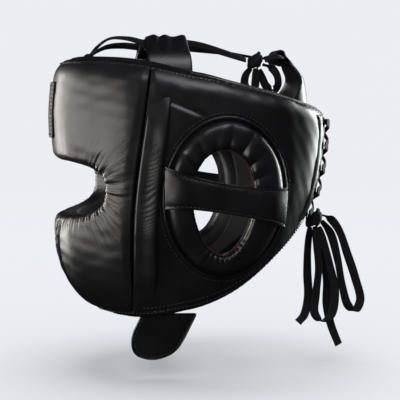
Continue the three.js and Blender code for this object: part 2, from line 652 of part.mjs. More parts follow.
const CROWN_LOOPS = [
  [v(26, 56, 90.8), v(25, 51.5, 84), v(25.5, 50.5, 76), v(27, 54, 70.5), v(28.5, 59, 73), v(29, 60, 80),
    v(29, 60, 90.6)],
  [v(29, 66.5, 94), v(30, 74, 91.5), v(30, 80, 84), v(29, 81, 75), v(27, 77, 70.5), v(25.5, 71, 74),
    v(25.5, 67, 82), v(26, 64, 89.6)],
];
CROWN_LOOPS.forEach((points, i) => {
  addPiece(`crown_bow_loop_${i + 1}`, tube(points, thinLaceRadius, 14), LACE_FINISH);
});

/** Zigzag of the rear lacing on one side: from the middle out to each eyelet and back, over the tongue. */
function halfLacing() {
  const depth = -PIECE_GAP * 2 - FACING.thickness - EYELETS.tube - laceRadius;
  const points = [wallPoint(180, EYELETS.top, depth)];
  eyeletHeights.forEach((z, i) => {
    points.push(wallPoint(166, z + (i === 0 ? 0 : 3), depth));
    points.push(wallPoint(EYELETS.turn, z, depth));
    if (i < EYELETS.count - 1) {
      points.push(wallPoint(166, z - 3, depth));
      points.push(wallPoint(179.2, z - EYELETS.pitch / 2, depth));
    }
  });
  return points.map((p) => v(Math.max(p.x, laceRadius + PIECE_GAP), p.y, p.z));
}
addPair('rear_lacing', tube(halfLacing(), thinLaceRadius, 30), LACE_FINISH);

const REAR_KNOT = v(6, 122, -52);
addPiece('rear_bow_knot', knot(8, REAR_KNOT.toArray(), [1, 0.8, 0.8]), LACE_FINISH);

const REAR_LOOPS = [
  [v(9, 123, -60), v(11, 124.5, -78), v(11, 126, -100), v(10, 124, -124), v(9, 123, -143), v(9, 130, -151),
    v(9, 139, -146), v(9, 143, -124), v(8, 138, -98), v(6.5, 132, -74), v(5, 127.5, -59.8)],
  [v(2, 131, -54.5), v(0, 140, -66), v(-1, 148, -92), v(-1, 153, -118), v(-1, 159, -138), v(-2, 166, -144),
    v(-3, 172, -134), v(-4, 167, -112), v(-5, 159, -88), v(-5, 150, -64), v(-4, 140, -52), v(-2.5, 131, -49)],
];
REAR_LOOPS.forEach((points, i) => addPiece(`rear_bow_loop_${i + 1}`, tube(points, laceRadius, 20), LACE_FINISH));

const REAR_TAILS = [
  [v(4, 119, -60), v(4, 117, -80), v(3, 117, -104), v(3, 118, -128), v(3, 114, -146), v(3, 108, -153)],
  [v(-1, 125, -60), v(0, 131, -84), v(1, 137, -110), v(2, 137, -136), v(3, 141, -156), v(3, 149, -176)],
];
REAR_TAILS.forEach((points, i) => addPiece(`rear_lace_tail_${i + 1}`, tube(points, laceRadius, 10), LACE_FINISH));

// ---------------------------------------------------------------- chin fastening
const tabX = HEAD_BREADTH / 2 - TAB.inset;
const slingRoot = -(HEAD_BREADTH / 2 - SLING.inset);

/** Outline of the hanging chin tab as seen from the left: [y, z] to the right and up. */
function tabOutline(inset) {
  const radius = TAB.tipRadius - inset;
  const shape = new THREE.Shape();
  shape.moveTo(-51 + inset, TAB.rootZ - inset);
  shape.lineTo(TAB.tipY - radius, TAB.tipZ);
  shape.absarc(TAB.tipY, TAB.tipZ, radius, Math.PI, 2 * Math.PI - 0.35, false);
  shape.lineTo(1 - inset, TAB.rootZ - inset);
  return shape;
}

/** Upright plate with a [y, z] outline, from one X to a thickness beyond it. */
const uprightPlate = (shape, x, thickness) => mergeVertices(new THREE.ExtrudeGeometry(shape, {
  depth: thickness, bevelEnabled: false, curveSegments: 12,
}).applyMatrix4(new THREE.Matrix4().makeBasis(v(0, 1, 0), v(0, 0, 1), v(1, 0, 0))).translate(x, 0, 0));

addPiece('chin_tab', uprightPlate(tabOutline(0), tabX - TAB.thickness / 2, TAB.thickness), LEATHER_FINISH);
addPiece('chin_tab_hook_patch', uprightPlate(tabOutline(5), tabX - TAB.thickness / 2 - PIECE_GAP - TAB.patch,
  TAB.patch), PILE_FINISH);

/** Flat strap seen from above, with a rounded free end. */
function slingShape(inset) {
  const radius = SLING.width / 2 - inset;
  const shape = new THREE.Shape();
  shape.moveTo(slingRoot + inset, SLING.y - radius);
  shape.lineTo(SLING.tip - SLING.width / 2, SLING.y - radius);
  shape.absarc(SLING.tip - SLING.width / 2, SLING.y, radius, -Math.PI / 2, Math.PI / 2, false);
  shape.lineTo(slingRoot + inset, SLING.y + radius);
  return shape;
}
const flatPlate = (shape, z, thickness) => new THREE.ExtrudeGeometry(shape, {
  depth: thickness, bevelEnabled: false, curveSegments: 10,
}).translate(0, 0, z);
addPiece('under_chin_strap', flatPlate(slingShape(0), SLING.z, SLING.thickness), LEATHER_FINISH);
addPiece('under_chin_loop_patch', flatPlate(slingShape(4), SLING.z - PIECE_GAP - TAB.patch, TAB.patch), PILE_FINISH);

export default headgear;
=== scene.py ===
# %% Frame
import math
import bpy
import numpy as np
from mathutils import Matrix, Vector


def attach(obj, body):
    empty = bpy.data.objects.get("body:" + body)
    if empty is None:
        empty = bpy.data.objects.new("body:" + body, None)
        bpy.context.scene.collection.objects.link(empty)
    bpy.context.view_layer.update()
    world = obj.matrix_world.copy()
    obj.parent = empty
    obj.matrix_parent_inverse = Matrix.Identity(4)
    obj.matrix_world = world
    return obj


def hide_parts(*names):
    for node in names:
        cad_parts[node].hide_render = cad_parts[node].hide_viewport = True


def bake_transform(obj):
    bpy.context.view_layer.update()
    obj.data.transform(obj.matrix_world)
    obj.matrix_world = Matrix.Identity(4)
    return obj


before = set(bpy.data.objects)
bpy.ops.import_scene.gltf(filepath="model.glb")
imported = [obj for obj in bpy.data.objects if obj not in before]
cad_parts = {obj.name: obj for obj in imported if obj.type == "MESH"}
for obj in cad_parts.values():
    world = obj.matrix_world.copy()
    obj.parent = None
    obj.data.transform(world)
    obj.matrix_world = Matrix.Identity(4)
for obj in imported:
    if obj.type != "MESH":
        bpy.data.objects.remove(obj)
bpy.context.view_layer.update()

MM = 0.001

# %% [markdown]
# # Boxing headgear, dressed
#
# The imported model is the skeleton: every piece sits where the design says and moves with its body. This
# file gives each piece its looks. All sizes below are in millimetres, and a mesh is scaled to metres when
# it is made. The face looks towards -Y, the wearer's left is +X and up is +Z.
#
# ## The camera
#
# The camera comes first, because it fixes how much of the laces is seen. It stands on the wearer's left,
# a little towards the face and a little above, far off with a long lens, so that the sides stay parallel.

# %% Camera
AIM = (0.0, 12.6, -33.0)
CAMERA_TURN, CAMERA_RISE, CAMERA_DISTANCE, CAMERA_LENS = 81.5, 4.8, 1050.0, 99.5


def on_sphere(turn, rise, distance):
    """Point in metres at a distance from the aim: turn in degrees round it from -Y towards +X, rise above
    level."""
    a, e = math.radians(turn), math.radians(rise)
    away = (math.sin(a) * math.cos(e), -math.cos(a) * math.cos(e), math.sin(e))
    return tuple((m + distance * d) * MM for m, d in zip(AIM, away))


def look_at_aim(obj, place):
    """Puts a lamp or camera at a place in metres and turns its -Z axis to the aim."""
    obj.location = place
    line = Vector([m * MM for m in AIM]) - Vector(place)
    obj.rotation_euler = line.to_track_quat("-Z", "Y").to_euler()


camera = bpy.data.objects.new("camera", bpy.data.cameras.new("camera"))
bpy.context.scene.collection.objects.link(camera)
bpy.context.scene.camera = camera
camera.data.lens = CAMERA_LENS
look_at_aim(camera, on_sphere(CAMERA_TURN, CAMERA_RISE, CAMERA_DISTANCE))
print("camera at", [round(c, 3) for c in camera.location])

# %% [markdown]
# ## Surfaces from numbers
#
# Almost everything on the headgear is a sheet or a roll that follows a smooth wall, so one tool is enough:
# a grid of points, worked out as a whole array, joined into four-sided faces. A grid can close on itself in
# either direction, so a tube, a ring and a pillow are all the same call. The signed volume says whether the
# faces look outwards, and turns them round when they don't.

# %% Grid meshes
def outward(points, faces):
    """Faces, reversed where the sum of the corner tetrahedra's volumes is negative."""
    a, b, c, d = (points[faces[:, i]] for i in range(4))
    volume = np.einsum("ij,ij->i", a, np.cross(b, c) + np.cross(c, d)).sum()
    return faces if volume > 0 else faces[:, ::-1]


def make_object(name, points, faces, materials, face_materials=None, corner_uv=None):
    """Object at the origin, with its mesh in metres, smooth shaded."""
    mesh = bpy.data.meshes.new(name)
    mesh.from_pydata(points * MM, [], faces)
    mesh.polygons.foreach_set("use_smooth", np.ones(len(mesh.polygons), bool))
    for material in materials:
        mesh.materials.append(material)
    if face_materials is not None:
        mesh.polygons.foreach_set("material_index", np.asarray(face_materials, np.int32))
    if corner_uv is not None:
        layer = mesh.uv_layers.new(name="along_and_across")
        layer.data.foreach_set("uv", np.asarray(corner_uv, np.float32).ravel())
    mesh.update()
    obj = bpy.data.objects.new(name, mesh)
    bpy.context.scene.collection.objects.link(obj)
    return obj


def grid_faces(rows, columns, wrap_rows, wrap_columns):
    """Corner indices of the four-sided faces of a grid, and each corner's own row and column."""
    r = np.arange(rows if wrap_rows else rows - 1)
    c = np.arange(columns if wrap_columns else columns - 1)
    r, c = (m.ravel() for m in np.meshgrid(r, c, indexing="ij"))
    corner_rows = np.stack([r, r, r + 1, r + 1], 1)
    corner_columns = np.stack([c, c + 1, c + 1, c], 1)
    faces = (corner_rows % rows) * columns + corner_columns % columns
    return faces, corner_rows, corner_columns


def grid_object(name, grid, materials, wrap_rows=False, wrap_columns=True, row_materials=None):
    """Closed body from a (rows, columns, 3) grid. Rows left open are closed by a fan onto their middle."""
    rows, columns, _ = grid.shape
    points = grid.reshape(-1, 3)
    faces, corner_rows, corner_columns = grid_faces(rows, columns, wrap_rows, wrap_columns)
    steps = np.linalg.norm(np.diff(grid[:, :1], axis=0), axis=2).mean() if rows > 1 else 1.0
    uv = np.stack([corner_rows * steps * MM, corner_columns / columns], 2)
    face_materials = None if row_materials is None else np.asarray(row_materials)[corner_rows[:, 0]]
    if not wrap_rows and wrap_columns:
        ends = np.stack([grid[0].mean(0), grid[-1].mean(0)])
        points = np.concatenate([points, ends])
        here = np.arange(columns)
        after = (here + 1) % columns
        first = np.stack([after, here, np.full(columns, rows * columns)], 1)
        last = np.stack([here, after, np.full(columns, rows * columns + 1)], 1)
        last[:, :2] += (rows - 1) * columns
        caps = np.concatenate([first, last])
    else:
        caps = np.zeros((0, 3), int)
    turned = outward(points, faces)
    if turned is not faces:
        uv, caps = uv[:, ::-1], caps[:, ::-1]
    uv = np.concatenate([uv.reshape(-1, 2), np.zeros((len(caps) * 3, 2))])
    if face_materials is not None:
        face_materials = np.concatenate([face_materials, np.zeros(len(caps), int)])
    return make_object(name, points, turned.tolist() + caps.tolist(), materials, face_materials, uv)


def mark(obj, name, values):
    """Writes one number for each point into the mesh, for a finish to read."""
    layer = obj.data.attributes.new(name, "FLOAT", "POINT")
    layer.data.foreach_set("value", np.asarray(values, np.float32).ravel())


# %% [markdown]
# ## Smooth paths
#
# A lace, a binding and a row of stitches all run along a path. A path is given by a few listed points. A
# spline through them makes it smooth, and it is then cut into equal steps, so that a weave or a stitch
# keeps its length all the way.

# %% Paths
def through_knots(knots):
    """Smooth curve through (x, y) knots: between neighbours a cubic, whose slope at a knot is the mean of
    the straight rises on its two sides."""
    x_knots, y_knots = np.array(knots, float).T
    rise = np.diff(y_knots) / np.diff(x_knots)
    slope = np.concatenate([rise[:1], (rise[:-1] + rise[1:]) / 2, rise[-1:]])

    def curve(x):
        i = np.clip(np.searchsorted(x_knots, x, side="left") - 1, 0, len(x_knots) - 2)
        span = x_knots[i + 1] - x_knots[i]
        s = np.clip((x - x_knots[i]) / span, 0, 1)
        bend = s * s * (3 - 2 * s)
        lean = (1 - s) * slope[i] - s * slope[i + 1]
        return y_knots[i] + (y_knots[i + 1] - y_knots[i]) * bend + span * s * (1 - s) * lean

    return curve


def arc_lengths(points, closed=False):
    """Distance along a row of points, from the first to each."""
    run = np.concatenate([points, points[:1]]) if closed else points
    return np.concatenate([[0], np.cumsum(np.linalg.norm(np.diff(run, axis=0), axis=1))])


def even_path(points, step, closed=False):
    """Centripetal spline through the points, cut into equal steps of about the given length."""
    p = np.asarray(points, float)
    before = p[-1:] if closed else 2 * p[:1] - p[1:2]
    after = p[:2] if closed else 2 * p[-1:] - p[-2:-1]
    p = np.concatenate([before, p, after])
    knots = np.concatenate([[0], np.cumsum(np.sqrt(np.linalg.norm(np.diff(p, axis=0), axis=1)))])
    count = len(p) - 3
    t = np.concatenate([np.linspace(knots[i + 1], knots[i + 2], 24, endpoint=False) for i in range(count)])
    t = t if closed else np.append(t, knots[-2])
    i = np.clip(np.searchsorted(knots, t, side="right") - 1, 1, count)

    def mix(low, high, a, b):
        share = ((t - knots[i + low]) / (knots[i + high] - knots[i + low]))[:, None]
        return a * (1 - share) + b * share

    a1, a2, a3 = mix(-1, 0, p[i - 1], p[i]), mix(0, 1, p[i], p[i + 1]), mix(1, 2, p[i + 1], p[i + 2])
    fine = mix(0, 1, mix(-1, 1, a1, a2), mix(0, 2, a2, a3))
    length = arc_lengths(fine, closed)
    run = np.concatenate([fine, fine[:1]]) if closed else fine
    stations = np.linspace(0, length[-1], max(3, round(length[-1] / step)) + 1)
    stations = stations[:-1] if closed else stations
    return np.stack([np.interp(stations, length, run[:, k]) for k in range(3)], 1)


def unit(vectors):
    return vectors / np.linalg.norm(vectors, axis=-1, keepdims=True)


def tangents(path, closed=False):
    """Direction of the path at each point, from the point before to the point after."""
    if closed:
        return unit(np.roll(path, -1, 0) - np.roll(path, 1, 0))
    return unit(np.gradient(path, axis=0))


def sweep(path, across, section, closed=False):
    """Grid that carries a section of (width, height) pairs along a path. The width lies along the given
    direction, made square to the path, and the height along their cross product."""
    along = tangents(path, closed)
    across = np.broadcast_to(np.asarray(across, float), path.shape)
    side = unit(across - (across * along).sum(1, keepdims=True) * along)
    up = np.cross(along, side)
    section = np.broadcast_to(section, (len(path),) + np.shape(section)[-2:])
    return (path[:, None] + side[:, None] * section[..., :1] + up[:, None] * section[..., 1:])


def oval(width, height, count=16, squareness=1.0):
    """Section of a flattened ring: cosine and sine, raised to a power below 1 for squarer corners."""
    angle = np.arange(count) / count * 2 * np.pi
    c, s = np.cos(angle), np.sin(angle)
    return np.stack([width / 2 * signed_power(c, squareness), height / 2 * signed_power(s, squareness)], 1)


def signed_power(value, power):
    return np.sign(value) * np.abs(value) ** power

# %% [markdown]
# ## The padded wall
#
# The headgear's wall is one rounded surface. Looked at from above it is between an ellipse and a rounded
# box, and that outline grows and shrinks with the height. A place on it is a turn round the head (0 at the
# face, 90 at the left ear), a height, and a depth measured inwards. These are the same rules as the model's.

# %% The wall
HEAD_LENGTH, HEAD_BREADTH = 208, 158
WALL, RIM, REAR_WALL = 22, 8, 12
ROUNDNESS = 2.35
TOP_SHOULDER, BOTTOM_SHOULDER = 18, 20
SEAM_TURN, REAR_TURN = 68.5, 168
EYE = dict(z=-18, half_height=25, half_turn=50.5, roundness=3)
EAR = dict(y=22, z=-24, half_length=52, half_height=67, lift=9)
EAR_HOLE = dict(y=19, z=-28, half_length=27, half_height=46, taper=0.14)

front_retreat = through_knots([(-150, 76), (-135, 50), (-126, 33), (-107, 16), (-78, 5), (-50, 2),
                               (10, 1), (50, 0), (75, 2), (104, 6)])
back_retreat = through_knots([(-150, 56), (-110, 42), (-80, 30), (-45, 16), (-22, 7.5), (0, 3),
                              (30, 0), (60, 0), (80, 2), (104, 6)])
side_retreat = through_knots([(-150, 45), (-130, 32), (-100, 17), (-60, 7), (-20, 2), (20, 0),
                              (50, 1.5), (80, 6), (104, 11)])
top_edge = through_knots([(0, 99), (30, 98.5), (62, 95), (85, 85), (98, 77.5), (120, 68.5), (143, 60),
                          (168, 51)])
bottom_edge = through_knots([(0, -135), (50, -133), (84, -131), (101, -122), (120, -105), (139, -79),
                             (155, -59), (168, -50)])
seam_line = through_knots([(-140, -58), (-40, -60), (80, -45)])


def plan(z, depth=0.0):
    """Middle and reach along Y, and half breadth along X, of the outline at a height and a depth."""
    front = -(HEAD_LENGTH / 2 + WALL) + front_retreat(z) + depth
    back = HEAD_LENGTH / 2 + WALL - back_retreat(z) - depth
    half = HEAD_BREADTH / 2 + WALL - side_retreat(z) - depth
    return (front + back) / 2, (back - front) / 2, half


def wall_point(turn, z, depth=0.0):
    """X is the half breadth times the sine, and Y the middle less the reach times the cosine, both raised
    to the power 2 / roundness with their sign kept."""
    turn, z, depth = np.broadcast_arrays(*(np.asarray(v, float) for v in (turn, z, depth)))
    middle, reach, half = plan(z, depth)
    s, c = np.sin(np.radians(turn)), np.cos(np.radians(turn))
    return np.stack([half * signed_power(s, 2 / ROUNDNESS), middle - reach * signed_power(c, 2 / ROUNDNESS),
                     z], -1)


def side_x(y, z, lift=0.0):
    """X of the left outer face at a Y and a height, standing proud by a lift."""
    middle, reach, half = plan(z)
    share = np.minimum(np.abs((y - middle) / reach), 0.999)
    return half * (1 - share ** ROUNDNESS) ** (1 / ROUNDNESS) + lift


def turn_at(y, z):
    """Turn in degrees at which the outer face has a given Y."""
    middle, reach, _ = plan(z)
    return np.degrees(np.arccos(np.clip(signed_power((middle - y) / reach, ROUNDNESS / 2), -1, 1)))


def seam_turn(z):
    return turn_at(seam_line(z), z)


def smooth_step(x, low, high):
    s = np.clip((x - low) / (high - low), 0, 1)
    return s * s * (3 - 2 * s)


def roll(distance, shoulder):
    """Quarter circle: 0 at the shoulder's start, 1 at the edge."""
    s = np.clip(1 - distance / shoulder, 0, 1)
    return 1 - np.sqrt(1 - s * s)


def faces(turn, z, bottom, top):
    """Depths of the outer and the inner face: the wall thins to the rear and rolls in at its edges."""
    wall = WALL - (WALL - REAR_WALL) * smooth_step(np.abs(turn), 135, REAR_TURN)
    outer = (wall - RIM) * roll(top - z, TOP_SHOULDER) + 3 * roll(z - bottom, 6)
    inner = wall - (wall - RIM - 3) * roll(z - bottom, BOTTOM_SHOULDER)
    return outer, inner


def mirror(points):
    return points * np.array([-1.0, 1.0, 1.0])


HANDS = ((1, "left"), (-1, "right"))


def on_side(sign, points):
    """Points worked out for the left side as they are, or mirrored to the right for a sign of -1."""
    return points if sign > 0 else mirror(points)


# %% [markdown]
# ## Finishes
#
# A finish is a small graph of nodes. Writing the maths as `0.5 + 0.2 * grain` reads better than linking
# boxes, so a class wraps a socket and its operators add the Math nodes. One more method adds any other
# node. Numbers that never change go straight onto the shader's own sockets.

# %% Shader tools
class Value:
    """A socket that can be added, subtracted and multiplied; each operator adds one Math node."""

    def __init__(self, tree, socket):
        self.tree, self.socket = tree, socket

    def node(self, kind, settings=None, **inputs):
        """Node of a type: its settings first, then the values or links of its sockets."""
        made = self.tree.nodes.new(kind)
        for key, value in (settings or {}).items():
            if key == "stops":
                ramp = made.color_ramp
                while len(ramp.elements) < len(value):
                    ramp.elements.new(0.5)
                for element, (place, colour) in zip(ramp.elements, value):
                    element.position, element.color = place, (*colour, 1)
            else:
                setattr(made, key, value)
        for key, value in inputs.items():
            slot = made.inputs[int(key[1:])] if key[1:].isdigit() else made.inputs[key.replace("_", " ")]
            if isinstance(value, Value):
                self.tree.links.new(value.socket, slot)
            else:
                slot.default_value = value
        return made

    def maths(self, operation, *values):
        made = self.node("ShaderNodeMath", {"operation": operation},
                         **{f"i{k}": v for k, v in enumerate(values)})
        return Value(self.tree, made.outputs[0])

    def __add__(self, other):
        return self.maths("ADD", self, other)

    def __radd__(self, other):
        return self.maths("ADD", other, self)

    def __sub__(self, other):
        return self.maths("SUBTRACT", self, other)

    def __rsub__(self, other):
        return self.maths("SUBTRACT", other, self)

    def __mul__(self, other):
        return self.maths("MULTIPLY", self, other)

    def __rmul__(self, other):
        return self.maths("MULTIPLY", other, self)


class Finish(Value):
    """A material: a Principled shader, and the coordinates its patterns read."""

    def __init__(self, name, color, roughness, **constants):
        self.material = bpy.data.materials.new(name)
        self.material.use_nodes = True
        super().__init__(self.material.node_tree, None)
        self.shader = self.tree.nodes["Principled BSDF"]
        self.shader.inputs["Base Color"].default_value = (*color, 1)
        self.shader.inputs["Roughness"].default_value = roughness
        for key, value in constants.items():
            self.shader.inputs[key.replace("_", " ")].default_value = value
        where = self.node("ShaderNodeTexCoord")
        self.place = Value(self.tree, where.outputs["Object"])
        self.flow = Value(self.tree, where.outputs["UV"])

    def noise(self, scale, detail=3.0, at=None):
        made = self.node("ShaderNodeTexNoise", None, Vector=at or self.place, Scale=scale, Detail=detail)
        return Value(self.tree, made.outputs["Fac"])

    def cells(self, scale):
        made = self.node("ShaderNodeTexVoronoi", {"feature": "F1"}, Vector=self.place, Scale=scale)
        return Value(self.tree, made.outputs["Distance"])

    def waves(self, scale, direction, at):
        made = self.node("ShaderNodeTexWave", {"bands_direction": direction}, Vector=at, Scale=scale)
        return Value(self.tree, made.outputs["Fac"])

    def stretched(self, at, scale):
        made = self.node("ShaderNodeMapping", None, Vector=at, Scale=scale)
        return Value(self.tree, made.outputs[0])

    def attribute(self, name):
        made = self.node("ShaderNodeAttribute", {"attribute_name": name})
        return Value(self.tree, made.outputs["Fac"])

    def ramp(self, factor, *stops):
        made = self.node("ShaderNodeValToRGB", {"stops": stops}, Fac=factor)
        return Value(self.tree, made.outputs["Color"])

    def set(self, **links):
        for key, value in links.items():
            self.tree.links.new(value.socket, self.shader.inputs[key.replace("_", " ")])

    def bump(self, height, strength, distance):
        made = self.node("ShaderNodeBump", None, Height=height, Strength=strength, Distance=distance)
        self.tree.links.new(made.outputs["Normal"], self.shader.inputs["Normal"])


# %% [markdown]
# ### Leather
#
# The shell is smooth black cowhide with a polished finish. Close up it has a fine pebble of cells a
# millimetre across, faint creases, and a shine that is uneven where hands have rubbed it. Cells make the
# pebble and noise makes the creases and the rubbing, which the colour and the roughness follow. Where a
# piece's points carry a number named creasing, long folds along its own UV map are added as far as it says.

# %% Leather
LEATHER_COLOUR = np.array([0.0045, 0.0044, 0.0052])


def leather(name, roughness, pebble=0.28):
    finish = Finish(name, LEATHER_COLOUR, roughness, Specular_IOR_Level=0.55)
    cells = finish.cells(950.0)
    creases = finish.noise(150.0, 5.0)
    rubbed = finish.noise(22.0, 3.0)
    dark, light = 0.7 * LEATHER_COLOUR, 1.5 * LEATHER_COLOUR
    finish.set(Base_Color=finish.ramp(rubbed, (0.3, dark), (0.75, light)),
               Roughness=roughness - 0.07 + 0.14 * rubbed + 0.05 * cells)
    folded = finish.noise(1.0, 4.0, finish.stretched(finish.flow, (26.0, 105.0, 1.0)))
    worn = finish.attribute("creasing")
    finish.bump(0.35 * cells + 0.65 * creases + 6.5 * (worn * folded), pebble, 0.0005)
    return finish.material


LEATHER = leather("black_leather", 0.35)
SOFT_LEATHER = leather("soft_black_leather", 0.33, 0.34)
EDGE_LEATHER = leather("edge_leather", 0.3, 0.3)
print("leathers:", LEATHER.name, SOFT_LEATHER.name, EDGE_LEATHER.name)

# %% [markdown]
# ### Lining, lace, thread, hook-and-loop and eyelets
#
# The lining is a matt synthetic suede. The laces are a flat plait, drawn from two sets of waves that cross
# on the lace's own length and width. Thread is a twisted cord, hook-and-loop a dense dark nap, and the
# eyelets are lacquered metal, worn bright in patches.

# %% Other finishes
def lining_cloth():
    finish = Finish("lining_suede", (0.012, 0.012, 0.013), 0.8, Sheen_Weight=0.15, Sheen_Roughness=0.5)
    nap = finish.noise(900.0, 2.0)
    patches = finish.noise(30.0, 3.0)
    finish.set(Base_Color=finish.ramp(patches, (0.3, (0.009, 0.009, 0.010)), (0.8, (0.018, 0.018, 0.020))),
               Roughness=0.72 + 0.16 * nap)
    finish.bump(nap, 0.3, 0.0004)
    return finish.material


def plaited_lace():
    finish = Finish("plaited_lace", (0.006, 0.006, 0.007), 0.66, Specular_IOR_Level=0.25)
    flow = finish.stretched(finish.flow, (420.0, 7.0, 1.0))
    left, right = finish.waves(1.0, "DIAGONAL", flow), finish.waves(1.6, "Y", flow)
    plait = left * right
    finish.set(Base_Color=finish.ramp(plait, (0.1, (0.003, 0.003, 0.0035)), (0.7, (0.011, 0.0105, 0.012))),
               Roughness=0.7 - 0.18 * plait)
    finish.bump(plait, 0.55, 0.0006)
    return finish.material


def thread(name, colour):
    finish = Finish(name, colour, 0.6)
    twist = finish.noise(2500.0, 1.0)
    finish.set(Roughness=0.5 + 0.2 * twist)
    finish.bump(twist, 0.4, 0.0002)
    return finish.material


def napped(name, colour):
    finish = Finish(name, colour, 0.95, Sheen_Weight=0.1)
    nap = finish.noise(2200.0, 2.0)
    finish.set(Base_Color=finish.ramp(nap, (0.35, (0.004, 0.004, 0.004)), (0.7, (0.012, 0.012, 0.013))))
    finish.bump(nap, 0.9, 0.0008)
    return finish.material


def lacquered_metal():
    finish = Finish("lacquered_metal", (0.02, 0.02, 0.022), 0.3, Metallic=1.0)
    wear = finish.noise(700.0, 4.0)
    finish.set(Base_Color=finish.ramp(wear, (0.5, (0.016, 0.016, 0.018)), (0.78, (0.16, 0.15, 0.14))),
               Roughness=0.25 + 0.25 * wear)
    finish.bump(wear, 0.1, 0.0002)
    return finish.material


LINING = lining_cloth()
LACE = plaited_lace()
THREAD = thread("black_thread", (0.014, 0.014, 0.016))
RED_THREAD = thread("dark_red_thread", (0.075, 0.012, 0.012))
PILE = napped("hook_and_loop", (0.008, 0.008, 0.008))
METAL = lacquered_metal()
print("finishes:", len(bpy.data.materials))


def dress(obj, slot, body, *nodes):
    """Hides the plain nodes that a new piece stands for, and puts it on its body when the body is one name.
    The finish slot is not used.
    """
    if nodes:
        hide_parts(*nodes)
    if isinstance(body, str):
        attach(obj, body)
    else:
        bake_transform(obj)
    return obj


# %% [markdown]
# ## Laces that hang free
#
# The bow at the back has two loops and two tails of flat lace. A lace this wide bends easily over its flat
# side and hardly at all over its edge, so where it hangs straight it shows its width to the side, and at
# the foot of a loop it twists to lay its width across the bend.

# %% Free laces
LACE_WIDTH, LACE_THICKNESS = 8.4, 1.5
REAR_LOOPS = [
    [(9, 123, -60), (11, 124.5, -78), (11, 126, -100), (10, 124, -124), (9, 123, -143), (9, 130, -151),
     (9, 139, -146), (9, 143, -124), (8, 138, -98), (6.5, 132, -74), (5, 127.5, -59.8)],
    [(2, 131, -54.5), (0, 140, -66), (-1, 148, -92), (-1, 153, -118), (-1, 159, -138), (-2, 166, -144),
     (-3, 172, -134), (-4, 167, -112), (-5, 159, -88), (-5, 150, -64), (-4, 140, -52), (-2.5, 131, -49)],
]
REAR_TAILS = [
    [(4, 119, -60), (4, 117, -80), (3, 117, -104), (3, 118, -128), (3, 114, -146), (3, 108, -153)],
    [(-1, 125, -60), (0, 131, -84), (1, 137, -110), (2, 137, -136), (3, 141, -156), (3, 149, -176)],
]
CROWN_LOOPS = [
    [(26, 56, 90.8), (25, 51.5, 84), (25.5, 50.5, 76), (27, 54, 70.5), (28.5, 59, 73), (29, 60, 80),
     (29, 60, 90.6)],
    [(29, 66.5, 94), (30, 74, 91.5), (30, 80, 84), (29, 81, 75), (27, 77, 70.5), (25.5, 71, 74),
     (25.5, 67, 82), (26, 64, 89.6)],
]


def free_lace(name, points, width, thickness, far_end, step=1.5):
    """Flat lace along a path. Its width points along Y where the path falls and along X where it runs
    level, and narrows a little towards both ends, where the lace goes into its knot."""
    path = even_path(points, step)
    fall = np.abs(tangents(path)[:, 2:])
    run = arc_lengths(path)
    turned_aside = 0.45 * np.sin(run / 21 + path[0, 0])[:, None]
    across = np.concatenate([1.05 - fall + turned_aside * fall, 0.1 + fall, 0 * fall], 1)
    pinch = 1 - 0.45 * np.exp(-run / 5) - (0.45 * np.exp(-(run[-1] - run) / 5) if far_end == "object" else 0)
    section = oval(width, thickness, 14, 0.75)[None] * np.stack([pinch, 0.4 + 0.6 / pinch], 1)[:, None]
    lace = grid_object(f"{name}_lace", sweep(path, across, section), [LACE])
    dress(lace, "lace", "front_section", name)
    tuple(path[0] * MM)
    path * MM
    print(name, "is", round(run[-1], 1), "mm long")
    return lace


for number, points in enumerate(REAR_LOOPS, 1):
    free_lace(f"rear_bow_loop_{number}", points, LACE_WIDTH, LACE_THICKNESS, "object")
for number, points in enumerate(REAR_TAILS, 1):
    free_lace(f"rear_lace_tail_{number}", points, LACE_WIDTH, LACE_THICKNESS, "bare")
for number, points in enumerate(CROWN_LOOPS, 1):
    free_lace(f"crown_bow_loop_{number}", points, 7.8, 1.8, "object", 1.0)

# %% [markdown]
# ## Gathers and unevenness
#
# Leather that is turned round a tight curve has spare length at its edge, and it gathers there in short
# folds: rounded crests with narrow valleys, never quite evenly spaced, longer and shorter by turns. The
# absolute value of a sine has just that shape. Broad unevenness is a sum of a few slanted waves.

# %% Folds
def gather(run, pitch, seed):
    """Absolute value of a sine of the distance along the edge, less its mean. The phase wanders, so that no
    two folds are alike: 0 is a level crest, and valleys reach -1."""
    phase = np.pi * run / pitch + 1.1 * np.sin(run / (4.3 * pitch) + seed)
    phase = phase + 0.7 * np.sin(run / (1.9 * pitch) + 2.3 * seed)
    return np.abs(np.sin(phase)) - 1


def fold_reach(run, shortest, longest, seed):
    """Length of the fold that starts at a place along the edge, between two lengths."""
    wander = 0.5 + 0.25 * np.sin(run / 3.1 + seed) + 0.25 * np.sin(run / 7.7 + 1.7 * seed)
    return shortest + (longest - shortest) * wander


def unevenness(points, wavelength, seed, waves=6):
    """Mean of slanted sine waves of about one wavelength, with seeded directions and phases."""
    draw = np.random.default_rng(seed)
    directions = unit(draw.normal(size=(waves, 3))) * draw.uniform(0.7, 1.4, (waves, 1))
    phases = draw.uniform(0, 2 * np.pi, waves)
    return np.sin(points @ directions.T * (2 * np.pi / wavelength) + phases).mean(-1) * 2.4


def dent(distance, width, depth):
    """Rounded groove: the depth times a bell curve of the distance from its middle line."""
    return -depth * np.exp(-(distance / width) ** 2)


# %% [markdown]
# ## Padded sections
#
# The front and the two sides are sandwiches of leather, foam and lining. Each surrounds one opening: the
# eyes or an ear. So each is made as a ring whose section is a flattened loop: out from the opening over
# the leather, round the border, back over the lining and round the opening's edge. The columns then run
# straight out from the opening, which is the way that the gathers run.

# %% A padded ring between an opening and a border
COLUMNS = 520
OUTER_ROWS, RIM_ROWS, INNER_ROWS, EDGE_ROWS = 58, 8, 14, 10


